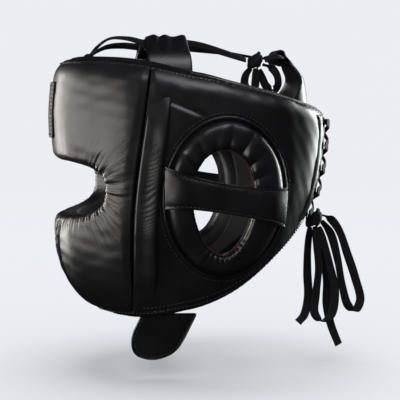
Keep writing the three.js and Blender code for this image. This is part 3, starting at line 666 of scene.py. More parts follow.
def spread(count, ends=0.5):
    """Shares from 0 to 1, part evenly spaced and part crowded to both ends by a cosine."""
    s = np.linspace(0, 1, count)
    return (1 - ends) * s + ends * (0.5 - 0.5 * np.cos(np.pi * s))


def square_ring(angle):
    """Point on the edge of a square from -1 to 1, in the direction of an angle."""
    c, s = np.cos(angle), np.sin(angle)
    return np.stack([c, s], -1) / np.maximum(np.abs(c), np.abs(s))[..., None]


def padded_ring(opening, border, place, lift, edge_radius, border_radius):
    """Grid of a padded ring. opening and border give (across, up) shares for every column, place turns
    shares into turn, height, bottom and top, and lift gives the swelling of the leather in millimetres from
    the points and their distances from the opening and to the border."""
    def stations(q):
        shares = opening + (border - opening) * q[:, None, None]
        turn, z, bottom, top = place(shares[..., 0], shares[..., 1])
        outer, inner = faces(turn, z, bottom, top)
        return turn, z, outer, inner

    turn, z, outer, inner = stations(spread(OUTER_ROWS))
    flat = wall_point(turn, z, outer)
    steps = np.linalg.norm(np.diff(flat, axis=0), axis=2)
    from_opening = np.concatenate([np.zeros((1, flat.shape[1])), np.cumsum(steps, 0)])
    to_border = from_opening[-1] - from_opening
    rounding = edge_radius * roll(from_opening, edge_radius) + border_radius * roll(to_border, border_radius)
    depth = outer + rounding - lift(flat, from_opening, to_border)
    rows = [wall_point(turn, z, depth)]
    end_depth, end_inner = depth[-1], inner[-1]
    for share in np.linspace(0, 1, RIM_ROWS + 2)[1:-1]:
        rows.append(wall_point(turn[-1], z[-1], end_depth + (end_inner - end_depth) * share)[None])
    turn, z, _, inner = stations(spread(INNER_ROWS)[::-1])
    back = wall_point(turn, z, inner)
    rows.append(back)
    start_depth = depth[0]
    for share in np.linspace(0, 1, EDGE_ROWS + 2)[1:-1]:
        rows.append(wall_point(turn[-1], z[-1], inner[-1] + (start_depth - inner[-1]) * share)[None])
    return np.concatenate(rows)


ROW_FINISH = [0] * (OUTER_ROWS + RIM_ROWS // 2) + [1] * (RIM_ROWS - RIM_ROWS // 2 + INNER_ROWS - 1) \
    + [0] * (EDGE_ROWS + 1)
ring_angles = np.arange(COLUMNS) / COLUMNS * 2 * np.pi

# %% [markdown]
# ### Front section
#
# One leather runs from the left seam over the forehead and the chin to the right seam. It is drawn tight
# over the forehead. Round the corners of the eye opening it is gathered, because the edge there turns
# hardest, and two rows of stitching shape the chin.

# %% Front section
def front_place(across, up):
    """Turn is the share across times the seam's turn, and the height a share between the two edges."""
    nominal = SEAM_TURN * np.abs(across)
    bottom, top = bottom_edge(nominal), top_edge(nominal)
    z = bottom + up * (top - bottom)
    return seam_turn(z) * across, z, bottom, top


def eye_outline(angle):
    """Rounded box in turn and height: cosine and sine raised to the power 2 / roundness."""
    turn = (EYE["half_turn"] - 0.2) * signed_power(np.cos(angle), 2 / EYE["roundness"])
    z = EYE["z"] + (EYE["half_height"] - 0.2) * signed_power(np.sin(angle), 2 / EYE["roundness"])
    return turn, z


def front_shares(turn, z):
    across = turn / seam_turn(z)
    nominal = SEAM_TURN * np.abs(across)
    bottom, top = bottom_edge(nominal), top_edge(nominal)
    return np.stack([across, (z - bottom) / (top - bottom)], -1)


CHIN_SEAM = through_knots([(-135, 4), (-113, 5.5), (-75, 9), (-41, 13.5), (-30, 15)])  # turn by height
EYE_CORNER = np.array([84, -80, -19])
CREASING_REACH = 40  # the leather is creased about this far round an eye corner


def front_lift(points, from_opening, to_border):
    """Swelling over the foam, less the gathers at the eye corners and the chin's stitched grooves."""
    edge = points[0]
    run = arc_lengths(edge, closed=True)[:-1]
    corner = smooth_step(np.abs(edge[:, 0]), 62, 88)
    under = smooth_step(-edge[:, 2], 34, 42)
    reach = fold_reach(run, 8, 40, 1.0) * (0.35 + 0.65 * corner)
    bent = run + 0.06 * from_opening * np.sin(from_opening / 9 + run / 6)
    deep = gather(bent, 8.3, 0.4) * np.exp(-((from_opening - 4) / reach) ** 2)
    fine = gather(bent, 3.3, 2.9) * np.exp(-((from_opening - 6) / (0.8 * reach[::-1])) ** 2)
    puckers = (deep + 0.6 * fine) * (1.05 * corner + 0.75 * under * (1 - corner) + 0.12)
    x, z = points[..., 0], points[..., 2]
    turn = np.degrees(np.arcsin(np.clip(signed_power(x / plan(z)[2], ROUNDNESS / 2), -1, 1)))
    gap = (np.abs(turn) - CHIN_SEAM(z)) * 1.75
    below = smooth_step(-z, 44, 52) * smooth_step(to_border, 6, 12)
    ridges = -dent(gap - 2.6, 1.6, 1.5) - dent(gap + 2.6, 1.6, 1.5)
    seams = below * (ridges + dent(gap, 1.2, 1.4) + dent(np.abs(gap) - 5.6, 1.3, 1.2))
    soft = 0.4 * unevenness(points, 46, 3) + 0.12 * unevenness(points, 15, 4)
    calm = smooth_step(to_border, 0, 12)
    middle_height = smooth_step(z, -112, -80) * (1 - smooth_step(z, 78, 92))
    beside_seam = 2.6 * smooth_step(points[..., 1], -92, -62) * middle_height
    return puckers + seams + soft * calm + 0.8 * calm * smooth_step(from_opening, 4, 20) + beside_seam


eye_turn, eye_z = eye_outline(ring_angles)
front_opening = front_shares(eye_turn, eye_z)
front_border = square_ring(ring_angles) * [1, 0.5] + [0, 0.5]
front_grid = padded_ring(front_opening, front_border, front_place, front_lift, 9.0, 1.1)
front = grid_object("front_section_padding", front_grid, [LEATHER, LINING], wrap_rows=True,
                    row_materials=ROW_FINISH)
dress(front, "leather", "front_section", "front_shell", "front_lining", "forehead_pad", "chin_pad",
      "left_cheek_pad", "right_cheek_pad", "eye_opening_facing")
on_left = np.concatenate([np.abs(front_grid[..., :1]), front_grid[..., 1:]], axis=2)
from_corner = np.linalg.norm(on_left - EYE_CORNER, axis=2)
mark(front, "creasing", np.exp(-(from_corner / CREASING_REACH) ** 2) + 0.06)
print("front section:", len(front.data.polygons), "faces")

# %% [markdown]
# ### Side sections
#
# Each side runs from the front seam back to the laced edge, round the ear. The leather is flat and full
# here, with a few short creases where it goes under the piping.

# %% Side sections
def side_place(back, up):
    """Turn runs from the seam's to the rear edge's, and the height between the two edges."""
    nominal = SEAM_TURN + (REAR_TURN - SEAM_TURN) * back
    bottom, top = bottom_edge(nominal), top_edge(nominal)
    z = bottom + up * (top - bottom)
    first = seam_turn(z)
    return first + (REAR_TURN - first) * back, z, bottom, top


def side_shares(turn, z):
    first = seam_turn(z)
    back = (turn - first) / (REAR_TURN - first)
    nominal = SEAM_TURN + (REAR_TURN - SEAM_TURN) * back
    bottom, top = bottom_edge(nominal), top_edge(nominal)
    return np.stack([back, (z - bottom) / (top - bottom)], -1)


def ear_edge(angle, margin=0.0):
    """Outer edge of the ear ring, an ellipse in Y and Z."""
    y = EAR["y"] + (EAR["half_length"] + margin) * np.cos(angle)
    z = EAR["z"] + (EAR["half_height"] + margin) * np.sin(angle)
    return y, z


def side_lift(points, from_opening, to_border):
    """Gentle swelling, creases that run in to the piping and a pull towards the laced edge."""
    run = arc_lengths(points[0], closed=True)[:-1]
    folds = gather(run, 9.0, 2.2) * np.exp(-(from_opening / fold_reach(run, 4, 15, 5.0)) ** 2)
    soft = 0.6 * unevenness(points, 52, 7) + 0.16 * unevenness(points, 16, 8)
    calm = smooth_step(to_border, 0, 14)
    y, z = points[..., 1], points[..., 2]
    pleat = dent(z - 60 + 0.42 * (y + 28), 2.2, 1.5)
    pleat = pleat * smooth_step(y, -36, -28) * (1 - smooth_step(y, -10, 14))
    return 0.7 * folds + soft * calm + pleat + 0.6 * calm * smooth_step(from_opening, 3, 16)


SIDE_GAP = 0.005  # share of the side's turn left open at the front seam
ear_y, ear_z = ear_edge(ring_angles + np.pi, -0.6)
side_opening = side_shares(turn_at(ear_y, ear_z), ear_z)
side_border = square_ring(ring_angles + np.pi) * [0.5 - SIDE_GAP, 0.5] + [0.5, 0.5]
side_border = np.clip(side_border, [SIDE_GAP, 0], [0.975, 1])
side_grid = padded_ring(side_opening, side_border, side_place, side_lift, 1.6, 1.1)
for sign, hand in HANDS:
    side = grid_object(f"{hand}_side_padding", on_side(sign, side_grid), [LEATHER, LINING], wrap_rows=True,
                       row_materials=ROW_FINISH)
    dress(side, "leather", f"{hand}_side", f"{hand}_side_shell", f"{hand}_side_pad", f"{hand}_side_lining")
print("side sections:", len(side.data.polygons), "faces each")

# %% [markdown]
# ## Bindings
#
# A strip of leather is folded over every raw edge and sewn through. It could be a tube, but a folded strip
# has two straight flanks and a round fold, so its section is drawn like that and carried along the edge.
# It puckers slightly all the way, because the edge is curved in two directions.

# %% Bindings
BINDING_FLANK, BINDING_PROUD, BINDING_FOLD = 5.5, 0.9, 1.4
FLANK = np.array([1.0, 0.97, 0.85, 0.6, 0.3, 0.0])
FOLD_ANGLES = np.linspace(0, np.pi, 9)[1:-1]


def edge_binding(place, first, last, at_top):
    """Strip folded over the top or bottom edge between two shares of a section: the outer flank, half a turn
    over the edge, and the inner flank."""
    across = np.linspace(first, last, 260)[:, None]
    sign, edge = (-1, 1.0) if at_top else (1, 0.0)
    run = arc_lengths(wall_point(*place(across[:, 0], edge)[:2]))[:, None]
    pucker = 0.35 * gather(run, 6.5, 1.3) + 0.25
    _, _, bottom, top = place(across, edge)
    share = BINDING_FLANK * FLANK[None] / (top - bottom)
    turn, z, bottom, top = place(across, 1 - share if at_top else share)
    outer, inner = faces(turn, z, bottom, top)
    lip = 1 - np.exp(-((1 - FLANK) / 0.08) ** 2) * 0.8
    outside = wall_point(turn, z, outer - (BINDING_PROUD + pucker) * lip)
    inside = wall_point(turn, z, inner + BINDING_PROUD * lip)[:, ::-1]
    turn, z, bottom, top = place(across, edge)
    outer, inner = faces(turn, z, bottom, top)
    outer, inner = outer - BINDING_PROUD - pucker, inner + BINDING_PROUD
    swing = FOLD_ANGLES[None]
    depth = (outer + inner) / 2 - (inner - outer) / 2 * np.cos(swing)
    over = wall_point(turn, z, depth)
    over[..., 2] -= sign * BINDING_FOLD * np.sin(swing)
    return np.concatenate([outside, over, inside], 1)


def bind(name, grid, body, *nodes):
    strip = grid_object(name, grid, [EDGE_LEATHER])
    return dress(strip, "leather", body, *nodes)


for level_name, at_top in (("top", True), ("bottom", False)):
    grid = edge_binding(front_place, -1, 1, at_top)
    bind(f"front_{level_name}_edge", grid, "front_section", f"front_{level_name}_binding")
    grid = edge_binding(side_place, 0.004, 1, at_top)
    bind(f"left_{level_name}_edge", grid, "left_side", f"left_side_{level_name}_binding")
    bind(f"right_{level_name}_edge", mirror(grid), "right_side", f"right_side_{level_name}_binding")


def rear_edge_grid():
    """Strip folded over the upright rear edge: flanks along the turn and half a turn beyond the last one."""
    up = np.linspace(0.0, 1.0, 120)[:, None]
    back = 1 - 0.045 * FLANK[None]
    turn, z, bottom, top = side_place(back, up)
    outer, inner = faces(turn, z, bottom, top)
    pucker = 0.3 * gather(z, 6.0, 0.7) + 0.25
    outside = wall_point(turn, z, outer - BINDING_PROUD - pucker)
    inside = wall_point(turn, z, inner + BINDING_PROUD)[:, ::-1]
    turn, z, bottom, top = side_place(np.ones((1, 1)), up)
    outer, inner = faces(turn, z, bottom, top)
    outer, inner = outer - BINDING_PROUD - 0.25, inner + BINDING_PROUD
    swing = FOLD_ANGLES[None]
    depth = (outer + inner) / 2 - (inner - outer) / 2 * np.cos(swing)
    over = wall_point(turn + 0.9 * np.sin(swing), z, depth)
    return np.concatenate([outside, over, inside], 1)


bind("left_rear_edge", rear_edge_grid(), "left_side", "left_rear_binding")
bind("right_rear_edge", mirror(rear_edge_grid()), "right_side", "right_rear_binding")
print("bindings done")

# %% [markdown]
# ## Seam roll
#
# Behind the front seam a padded roll runs down each side. Its crest is well back, so it is a long flat
# slope and then a short one. Where the wall curves in to the jaw the roll's leather has fine cross folds.

# %% Seam roll
def seam_roll():
    """Lift over the wall by the share across the roll: two smooth slopes that meet at the crest, sinking
    below the wall at the sides and at both ends."""
    z = np.linspace(-122, 80, 200)[:, None]
    share = np.linspace(0, 1, 28)[None]
    front = seam_line(z) + 1.2
    y = front + 22.5 * share
    crest = 0.8
    rise = (smooth_step(share, 0, 0.07) * 0.72 + 0.28 * smooth_step(share, 0.3, crest)) * smooth_step(
        1 - share, 0, 1 - crest)
    ends = smooth_step(z, -122, -90) * (1 - smooth_step(z, 36, 80))
    by_the_jaw = smooth_step(z, -62, -40) * (1 - smooth_step(z, 4, 30))
    folds = gather(z + 3 * np.sin(share * 5) + 2.5 * np.sin(z / 7), 4.3, 3.0) * by_the_jaw
    lift = -2.5 + (1.2 + 6.0 * rise) * ends + 0.28 * folds * np.sin(np.pi * share)
    outside = np.stack([side_x(y, z, lift), y + 0 * z, z + 0 * y], -1)
    inside = np.stack([side_x(y, z, -5.0), y + 0 * z, z + 0 * y], -1)[:, ::-1]
    outside[..., 0] += 0.25 * unevenness(outside, 24, 11)
    return np.concatenate([outside, inside], 1)


for sign, hand in HANDS:
    roll_object = grid_object(f"{hand}_seam_roll", on_side(sign, seam_roll()), [LEATHER])
    dress(roll_object, "leather", f"{hand}_side", f"{hand}_seam_bolster")

# %% [markdown]
# ## Ear ring
#
# A padded tube of leather surrounds the ear, sewn down outside under a line of piping and turned in through
# the hole. The hole's edge is much shorter than the outer one, so the spare leather is gathered towards it:
# deep folds over the top, fine ones at the foot.

# %% Ear ring
EAR_COLUMNS, EAR_ROWS = 420, 56
ear_angles = np.arange(EAR_COLUMNS) / EAR_COLUMNS * 2 * np.pi


def ear_outline(angle, share):
    """Y and Z between the hole's edge, share 0, and the ring's outer edge, share 1."""
    c, s = np.cos(angle), np.sin(angle)
    hole_y = EAR_HOLE["y"] + EAR_HOLE["half_length"] * c * (1 + EAR_HOLE["taper"] * s)
    hole_z = EAR_HOLE["z"] + EAR_HOLE["half_height"] * s
    edge_y, edge_z = ear_edge(angle)
    return hole_y + (edge_y - hole_y) * share, hole_z + (edge_z - hole_z) * share


def ear_ring():
    """Section of the ring: a fat half round outside and a squarer half inside the wall."""
    swing = (np.arange(EAR_ROWS) / EAR_ROWS * 2 * np.pi)[:, None]
    angle = ear_angles[None]
    c, s = np.cos(swing), np.sin(swing)
    share = 0.5 + 0.49 * np.where(s > 0, signed_power(c, 0.72), signed_power(c, 0.5))
    height = np.where(s > 0, EAR["lift"] * signed_power(s, 0.72), 19.0 * signed_power(s, 0.6))
    y, z = ear_outline(angle, share)
    rim_y, rim_z = ear_outline(ear_angles, 0.3)
    run = arc_lengths(np.stack([0 * rim_y, rim_y, rim_z], 1), closed=True)[:-1][None]
    high = smooth_step(np.sin(angle), 0.15, 0.6)
    low = smooth_step(-np.sin(angle), 0.55, 0.95)
    reach = fold_reach(run, 0.34, 0.72, 4.0)
    near_hole = np.exp(-((share - 0.12) / reach) ** 2) * smooth_step(s, -0.35, 0.1)
    coarse = gather(run, 13.5, 0.9) * near_hole * (3.2 * high + 0.15)
    fine = gather(run, 5.4, 2.1) * near_hole * (1.0 * low + 0.08)
    puff = 0.7 * unevenness(np.stack([0 * y, y, z], -1), 30, 17) * smooth_step(s, 0, 0.4)
    return np.stack([side_x(y, z, 0.4 + height + coarse + fine + puff), y, z], -1)


for sign, hand in HANDS:
    ring = grid_object(f"{hand}_ear_padding", on_side(sign, ear_ring()), [SOFT_LEATHER], wrap_rows=True)
    dress(ring, "leather", f"{hand}_side", f"{hand}_ear_ring_cover", f"{hand}_ear_ring_core")

# %% [markdown]
# ### Piping and the hole's sewn edge
#
# Piping is a cord in a folded strip of leather. It lies in the seam round the ring. Inside the hole the raw
# edge is closed by a row of dark red thread.

# %% Piping
PIPING_RADIUS, PIPING_MARGIN = 1.5, 3.2


def ear_loop(share_or_margin, lift, outside):
    """Closed row of points round the ear, outside the ring by a margin or on it at a share."""
    angle = ear_angles
    y, z = ear_edge(angle, share_or_margin) if outside else ear_outline(angle, share_or_margin)
    return np.stack([side_x(y, z, lift), y, z], 1)


def rope(name, path, radius, material, pitch, dent_depth, sides=12):
    """Closed tube whose radius dips in shallow folds along its length."""
    run = arc_lengths(path, closed=True)[:-1]
    swell = 1 + dent_depth * gather(run, pitch, 0.3)
    section = oval(2, 2, sides)[None] * (radius * swell)[:, None, None]
    return grid_object(name, sweep(path, (1, 0, 0), section, closed=True), [material], wrap_rows=True)


for sign, hand in HANDS:
    path = on_side(sign, even_path(ear_loop(PIPING_MARGIN, 0.7, True), 1.2, closed=True))
    piping = rope(f"{hand}_piping_cord", path, PIPING_RADIUS, LEATHER, 5.2, 0.10)
    dress(piping, "leather", f"{hand}_side", f"{hand}_ear_piping")
    path = on_side(sign, even_path(ear_loop(0.015, -3.0, False), 1.2, closed=True))
    raw_edge = rope(f"{hand}_ear_hole_thread", path, 0.8, RED_THREAD, 1.7, 0.35, sides=8)
    dress(raw_edge, "lace", f"{hand}_side")

# %% [markdown]
# ## Ear strap
#
# A flat padded strap crosses the hole. It is widest where it is sewn down at both ends and narrows between
# them, and it bends over the ring at each side of the hole. It carries no lettering.

# %% Ear strap
STRAP_FROM, STRAP_TO, STRAP_WIDTH, STRAP_END_WIDTH, STRAP_DROOP = -33, 78, 26, 37, 0.18


def strap_middle(y):
    return -18 - STRAP_DROOP * (y + 10)


def strap_points(y, side, height):
    """Point of the strap at a Y, a share across from -1 to 1 and a height over its inner face. The arch
    keeps to the piping's top at the ends and to the ring's top between."""
    along = 2 * (y - STRAP_FROM) / (STRAP_TO - STRAP_FROM) - 1
    arch = 4.6 + (EAR["lift"] + 1.5 - 4.6) * (1 - np.abs(along) ** 5)
    arch = arch + dent(along + 0.56, 0.16, 1.6)  # the bend at the front end
    half = (STRAP_WIDTH + (STRAP_END_WIDTH - STRAP_WIDTH) * np.abs(along) ** 2.5) / 2
    z = strap_middle(y) + side * half
    return np.stack([side_x(y, z, arch + height), y + 0 * z, z + 0 * y], -1)


def ear_strap():
    """Two faces joined by rounded edges: the height falls from the middle to the sides as a flat curve."""
    y = np.linspace(STRAP_FROM, STRAP_TO, 150)[:, None]
    swing = (np.arange(44) / 44 * 2 * np.pi)[None]
    side, s = signed_power(np.cos(swing), 0.55), np.sin(swing)
    along = 2 * (y - STRAP_FROM) / (STRAP_TO - STRAP_FROM) - 1
    puff = 1.7 * (1 - np.abs(side) ** 3) * (1 - np.abs(along) ** 6) + 0.35
    height = 1.1 + np.where(s > 0, puff, 1.0) * signed_power(s, 0.5)
    stitch_line = dent((np.abs(side) - 0.84) * 14, 0.9, 0.55) * (s > 0)
    grid = strap_points(y, side, height + stitch_line)
    grid[..., 0] += 0.3 * unevenness(grid, 22, 23) * (s > 0)
    return grid


for sign, hand in HANDS:
    strap = grid_object(f"{hand}_ear_band", on_side(sign, ear_strap()), [SOFT_LEATHER])
    dress(strap, "leather", f"{hand}_side", f"{hand}_ear_strap")
print("ear pieces done")

# %% [markdown]
# ## The laced back
#
# A band of leather with five eyelets runs down each rear edge. The band is a low pillow pulled down where
# the eyelets pinch it, and an eyelet is a round wire carried round a circle.

# %% Eyelet bands and eyelets
EYELET_TURN, EYELET_PITCH, EYELET_COUNT, EYELET_TOP = 159, 21, 5, 41
EYELET_RADIUS, EYELET_WIRE = 3.4, 0.95
eyelet_heights = EYELET_TOP - EYELET_PITCH * np.arange(EYELET_COUNT)


def eyelet_band():
    """Low pillow between two turns, from below the last eyelet to above the first."""
    z = np.linspace(-50, 48, 110)[:, None]
    swing = (np.arange(36) / 36 * 2 * np.pi)[None]
    side, s = signed_power(np.cos(swing), 0.6), np.sin(swing)
    turn = 157.3 + 7.9 * side
    ends = signed_power(np.clip(1 - np.abs((z + 1) / 49) ** 12, 0, 1), 0.5)
    sunk = sum(np.exp(-(((turn - EYELET_TURN) / 2.2) ** 2 + ((z - h) / 5.5) ** 2)) for h in eyelet_heights)
    puff = 2.9 * (1 - np.abs(side) ** 4) - 1.1 * sunk
    lift = np.where(s > 0, puff * signed_power(np.maximum(s, 0), 0.5), -1.5) * ends
    grid = wall_point(turn, z, -lift)
    return grid + 0.2 * unevenness(grid, 20, 31)[..., None] * unit(grid * [1, 1, 0])


def eyelet_rings():
    """Small rings facing out of the wall: a round wire carried round a circle in the wall's own plane."""
    centres = wall_point(EYELET_TURN, eyelet_heights, -2.4)
    beside = unit(wall_point(EYELET_TURN + 2, eyelet_heights, -2.4) - centres)
    out = unit(np.cross(beside, (0.0, 0.0, 1.0)))
    round_it, wire = np.arange(24) / 24 * 2 * np.pi, np.arange(10) / 10 * 2 * np.pi
    spoke = np.cos(round_it)[:, None] * beside[:, None] + np.sin(round_it)[:, None] * np.array([0, 0, 1.0])
    reach = EYELET_RADIUS + EYELET_WIRE * np.cos(wire)
    rise = 0.8 * EYELET_WIRE * np.sin(wire)
    return (centres[:, None, None] + spoke[:, :, None] * reach[:, None]
            + out[:, None, None] * rise[:, None])


def stacked(grids, wrap_rows):
    """Points and faces of a stack of grids, each numbered on from the one before it."""
    count, rows, columns, _ = grids.shape
    faces_of_one = grid_faces(rows, columns, wrap_rows, True)[0]
    first_points = (np.arange(count) * rows * columns)[:, None, None]
    return grids.reshape(-1, 3), (faces_of_one[None] + first_points).reshape(-1, 4)


def many(name, grids, material):
    """One object from a stack of grids that are closed both ways."""
    points, stack = stacked(grids, True)
    return make_object(name, points, outward(points, stack), [material])


for sign, hand in HANDS:
    band = grid_object(f"{hand}_eyelet_band", on_side(sign, eyelet_band()), [SOFT_LEATHER])
    dress(band, "leather", f"{hand}_side", f"{hand}_eyelet_facing")
    dress(many(f"{hand}_eyelets", on_side(sign, eyelet_rings()), METAL), "leather", f"{hand}_side")

# %% [markdown]
# ### Tongue
#
# A padded tongue closes the gap behind the lace. It is a pillow: a slab is worked out, blown up a little by
# a cloth simulation with air pressure, and then two sewn channels are pressed into it.

# %% Tongue
TONGUE_HALF_TURN, TONGUE_THICKNESS, TONGUE_TOP, TONGUE_BOTTOM = 33, 10, 44, -52
TONGUE_CHANNEL = 17  # from the middle to a sewn channel


def tongue_depth(turn):
    """Just inside the rear wall, which thins towards its laced edge."""
    thinning = smooth_step(180 - np.abs(turn - 180), 135, REAR_TURN)
    return WALL - (WALL - REAR_WALL) * thinning + 1.6


def pillow(place, rows, columns, margin=0.0):
    """Closed pillow from place(across, up, through): rounded boxes of (across, through) pairs, drawn in
    towards both ends so that the ends are round as well."""
    up = np.sin(np.linspace(-np.pi / 2, np.pi / 2, rows))[:, None]
    swing = (np.arange(columns) / columns * 2 * np.pi)[None]
    fullness = signed_power(1 - np.abs(up) ** 6, 0.5)
    across = signed_power(np.cos(swing), 0.6) * (0.9 + 0.1 * fullness)
    through = signed_power(np.sin(swing), 0.6) * np.maximum(fullness, 0.05)
    return place(across * (1 - margin), up * (1 - margin), through)


def blown_up(obj, voxel, pressure, cap, frames=20):
    """Cloth simulation of a closed skin under air pressure, with no weight. The mesh is first remeshed to
    even cells. How far a point moved is then limited to the cap."""
    remesh = obj.modifiers.new("even_cells", "REMESH")
    remesh.mode, remesh.voxel_size = "VOXEL", voxel * MM
    bpy.context.view_layer.update()
    even = bpy.data.meshes.new_from_object(obj.evaluated_get(bpy.context.evaluated_depsgraph_get()))
    obj.modifiers.clear()
    even.materials.clear()
    for material in obj.data.materials:
        even.materials.append(material)
    obj.data = even
    start = np.zeros(len(even.vertices) * 3)
    even.vertices.foreach_get("co", start)
    cloth = obj.modifiers.new("air", "CLOTH")
    cloth.settings.use_pressure, cloth.settings.uniform_pressure_force = True, pressure
    cloth.settings.effector_weights.gravity = 0
    scene = bpy.context.scene
    for number in range(1, frames + 1):
        scene.frame_set(number)
    swollen = obj.evaluated_get(bpy.context.evaluated_depsgraph_get()).to_mesh()
    end = np.zeros_like(start)
    swollen.vertices.foreach_get("co", end)
    obj.modifiers.clear()
    scene.frame_set(1)
    move = (end - start).reshape(-1, 3)
    far = np.linalg.norm(move, axis=1, keepdims=True)
    move *= np.minimum(1, cap * MM / np.maximum(far, 1e-9))
    even.vertices.foreach_set("co", (start.reshape(-1, 3) + move).ravel())
    even.polygons.foreach_set("use_smooth", np.ones(len(even.polygons), bool))
    even.update()
    print(obj.name, "swelled by up to", round(float(far.max()) / MM, 1), "mm")
    return obj


def press_channels(obj, groove):
    """Moves each point along its normal by groove(points), in millimetres."""
    mesh = obj.data
    points = np.zeros(len(mesh.vertices) * 3)
    normals = np.zeros_like(points)
    mesh.vertices.foreach_get("co", points)
    mesh.vertex_normals.foreach_get("vector", normals)
    points, normals = points.reshape(-1, 3) / MM, normals.reshape(-1, 3)
    points += normals * groove(points)[:, None]
    mesh.vertices.foreach_set("co", (points * MM).ravel())
    mesh.update()


def tongue_place(across, up, through):
    turn = 180 + (TONGUE_HALF_TURN - 1) * across
    z = (TONGUE_TOP + TONGUE_BOTTOM) / 2 + (TONGUE_TOP - TONGUE_BOTTOM) / 2 * up
    return wall_point(turn, z, tongue_depth(turn) + TONGUE_THICKNESS * (0.5 - 0.36 * through))


tongue = grid_object("padded_tongue", pillow(tongue_place, 70, 150), [SOFT_LEATHER])
blown_up(tongue, 3.0, 4.0, 1.6)


def tongue_channels(points):
    """Depth of two upright sewn lines that stop short of the rim, and a slight unevenness all over."""
    x, z = points[:, 0], points[:, 2]
    above_foot = smooth_step(z, TONGUE_BOTTOM + 6, TONGUE_BOTTOM + 14)
    below_top = 1 - smooth_step(z, TONGUE_TOP - 12, TONGUE_TOP - 5)
    channels = dent(x - TONGUE_CHANNEL, 2.0, 1.6) + dent(x + TONGUE_CHANNEL, 2.0, 1.6)
    return above_foot * below_top * channels + 0.25 * unevenness(points, 26, 41)


press_channels(tongue, tongue_channels)
finer = tongue.modifiers.new("finer", "SUBSURF")
finer.levels = finer.render_levels = 1
dress(tongue, "leather", "front_section", "rear_tongue")

# %% [markdown]
# ### Rear lacing
#
# The lace crosses from eyelet to eyelet. Each half is one flat lace that runs from the middle of the back
# out to the eyelets of its side and back again.

# %% Rear lacing
def half_lacing():
    """Zigzag from the middle out to each eyelet and back, over the bands."""
    depth = -6.3
    bends = []
    for number, z in enumerate(eyelet_heights):
        bends += [(166, z + 3 * (number > 0), depth), (EYELET_TURN, z, depth + 1.5)]
        if number < EYELET_COUNT - 1:
            bends += [(166, z - 3, depth), (179.2, z - EYELET_PITCH / 2, depth)]
    turns, heights, depths = np.array([(180, EYELET_TOP, depth)] + bends).T
    points = wall_point(turns, heights, depths)
    points[:, 0] = np.maximum(points[:, 0], 2.9)
    return points


lacing_path = even_path(half_lacing(), 1.0)
lacing_out = unit(lacing_path * [1, 0.6, 0])
lacing_across = np.cross(tangents(lacing_path), lacing_out)
lacing_grid = sweep(lacing_path, lacing_across, oval(5.6, 1.5, 12, 0.8))
across_back = lacing_path[:, 1].mean() * MM
for sign, hand in HANDS:
    lacing = grid_object(f"{hand}_lacing_half", on_side(sign, lacing_grid), [LACE])
    dress(lacing, "lace", ("front_section", f"{hand}_side", (0.0, across_back, 0.0),
                           (sign * 0.025, across_back, 0.0)), f"{hand}_rear_lacing")

# %% [markdown]
# ### Knots
#
# A bow knot is a loop of lace drawn tight round the crossing strands. It is one thick turn that goes round
# twice, like a small spring pulled into a ball, so it is a lace carried along a coil.

# %% Knots
def bow_knot(name, centre, size, replaces):
    """Flat lace wound twice round an axis, its radius swelling in the middle of the wind."""
    t = np.linspace(0, 1, 150)
    swing = 2 * np.pi * 2.3 * t
    radius = size * (0.52 + 0.22 * np.sin(np.pi * t))
    height = size * 1.1 * (t - 0.5)
    path = np.stack([centre[0] + radius * np.cos(swing), centre[1] + radius * np.sin(swing) * 0.9,
                     centre[2] + height + 0.25 * size * np.sin(swing)], 1)
    section = oval(size * 0.95, size * 0.5, 14, 0.8)[None] * (0.75 + 0.25 * np.sin(np.pi * t))[:, None, None]
    made = grid_object(name, sweep(path, (0, 0, 1), section), [LACE])
    return dress(made, "lace", "front_section", replaces)


bow_knot("rear_knot_wind", (6, 122, -52), 9.0, "rear_bow_knot")
bow_knot("crown_knot_wind", (27.5, 59.5, 97), 8.0, "crown_knot")
print("rear pieces done")

# %% [markdown]
# ## Crown
#
# Four leather flaps stand up round the open crown, and each ends in a tunnel that the crown lace is drawn
# through. Two rise from the sides, a wide one from the tongue and a short one from the forehead.

# %% Crown flaps
FLAP_THICKNESS = 2.4
SIDE_LOOP_X, SIDE_LOOP_Z, FLAP_Y, FLAP_WIDTH = 34, 112.5, -24, 40
REAR_LOOP_Y, REAR_LOOP_Z, REAR_LOOP_HALF = 86, 101.5, 18
FRONT_LOOP_Y, FRONT_LOOP_Z, FRONT_LOOP_HALF = -92, 98, 12
X_AXIS, _, Z_AXIS = np.eye(3)


def spline_rows(controls, per=10):
    """Rows of points through rows of control points, all columns at once: between two rows the usual cubic
    whose ends lean along the line between their neighbours."""
    p = np.asarray(controls, float)
    p = np.concatenate([2 * p[:1] - p[1:2], p, 2 * p[-1:] - p[-2:-1]])
    t = (np.arange(per) / per)[None, :, None, None]
    p0, p1, p2, p3 = (p[k:len(p) - 3 + k][:, None] for k in range(4))
    curve = 0.5 * (2 * p1 + (p2 - p0) * t + (2 * p0 - 5 * p1 + 4 * p2 - p3) * t ** 2
                   + (3 * p1 - p0 - 3 * p2 + p3) * t ** 3)
    return np.concatenate([curve.reshape(-1, *p.shape[1:]), p[-2:-1]])


def thick_sheet(middle, thickness):
    """Closed grid round a sheet: both faces half the thickness from it along its normal, thinning to
    nothing over the last of its width so that the edges are round."""
    down, along = np.gradient(middle, axis=0), np.gradient(middle, axis=1)
    normal = unit(np.cross(down, along))
    share = np.linspace(-1, 1, middle.shape[1])[None, :, None]
    half = thickness / 2 * (1 - share ** 12) ** 0.5
    return np.concatenate([middle + normal * half, (middle - normal * half)[:, ::-1]], 1)


def tunnel_arc(middle, radius, first, last, count=7):
    """(across, up) pairs of a turn round a middle, between two angles in degrees."""
    a = np.radians(np.linspace(first, last, count))
    return [(middle[0] + radius * np.cos(t), middle[1] + radius * np.sin(t)) for t in a]


FLAP_COLUMNS = 48


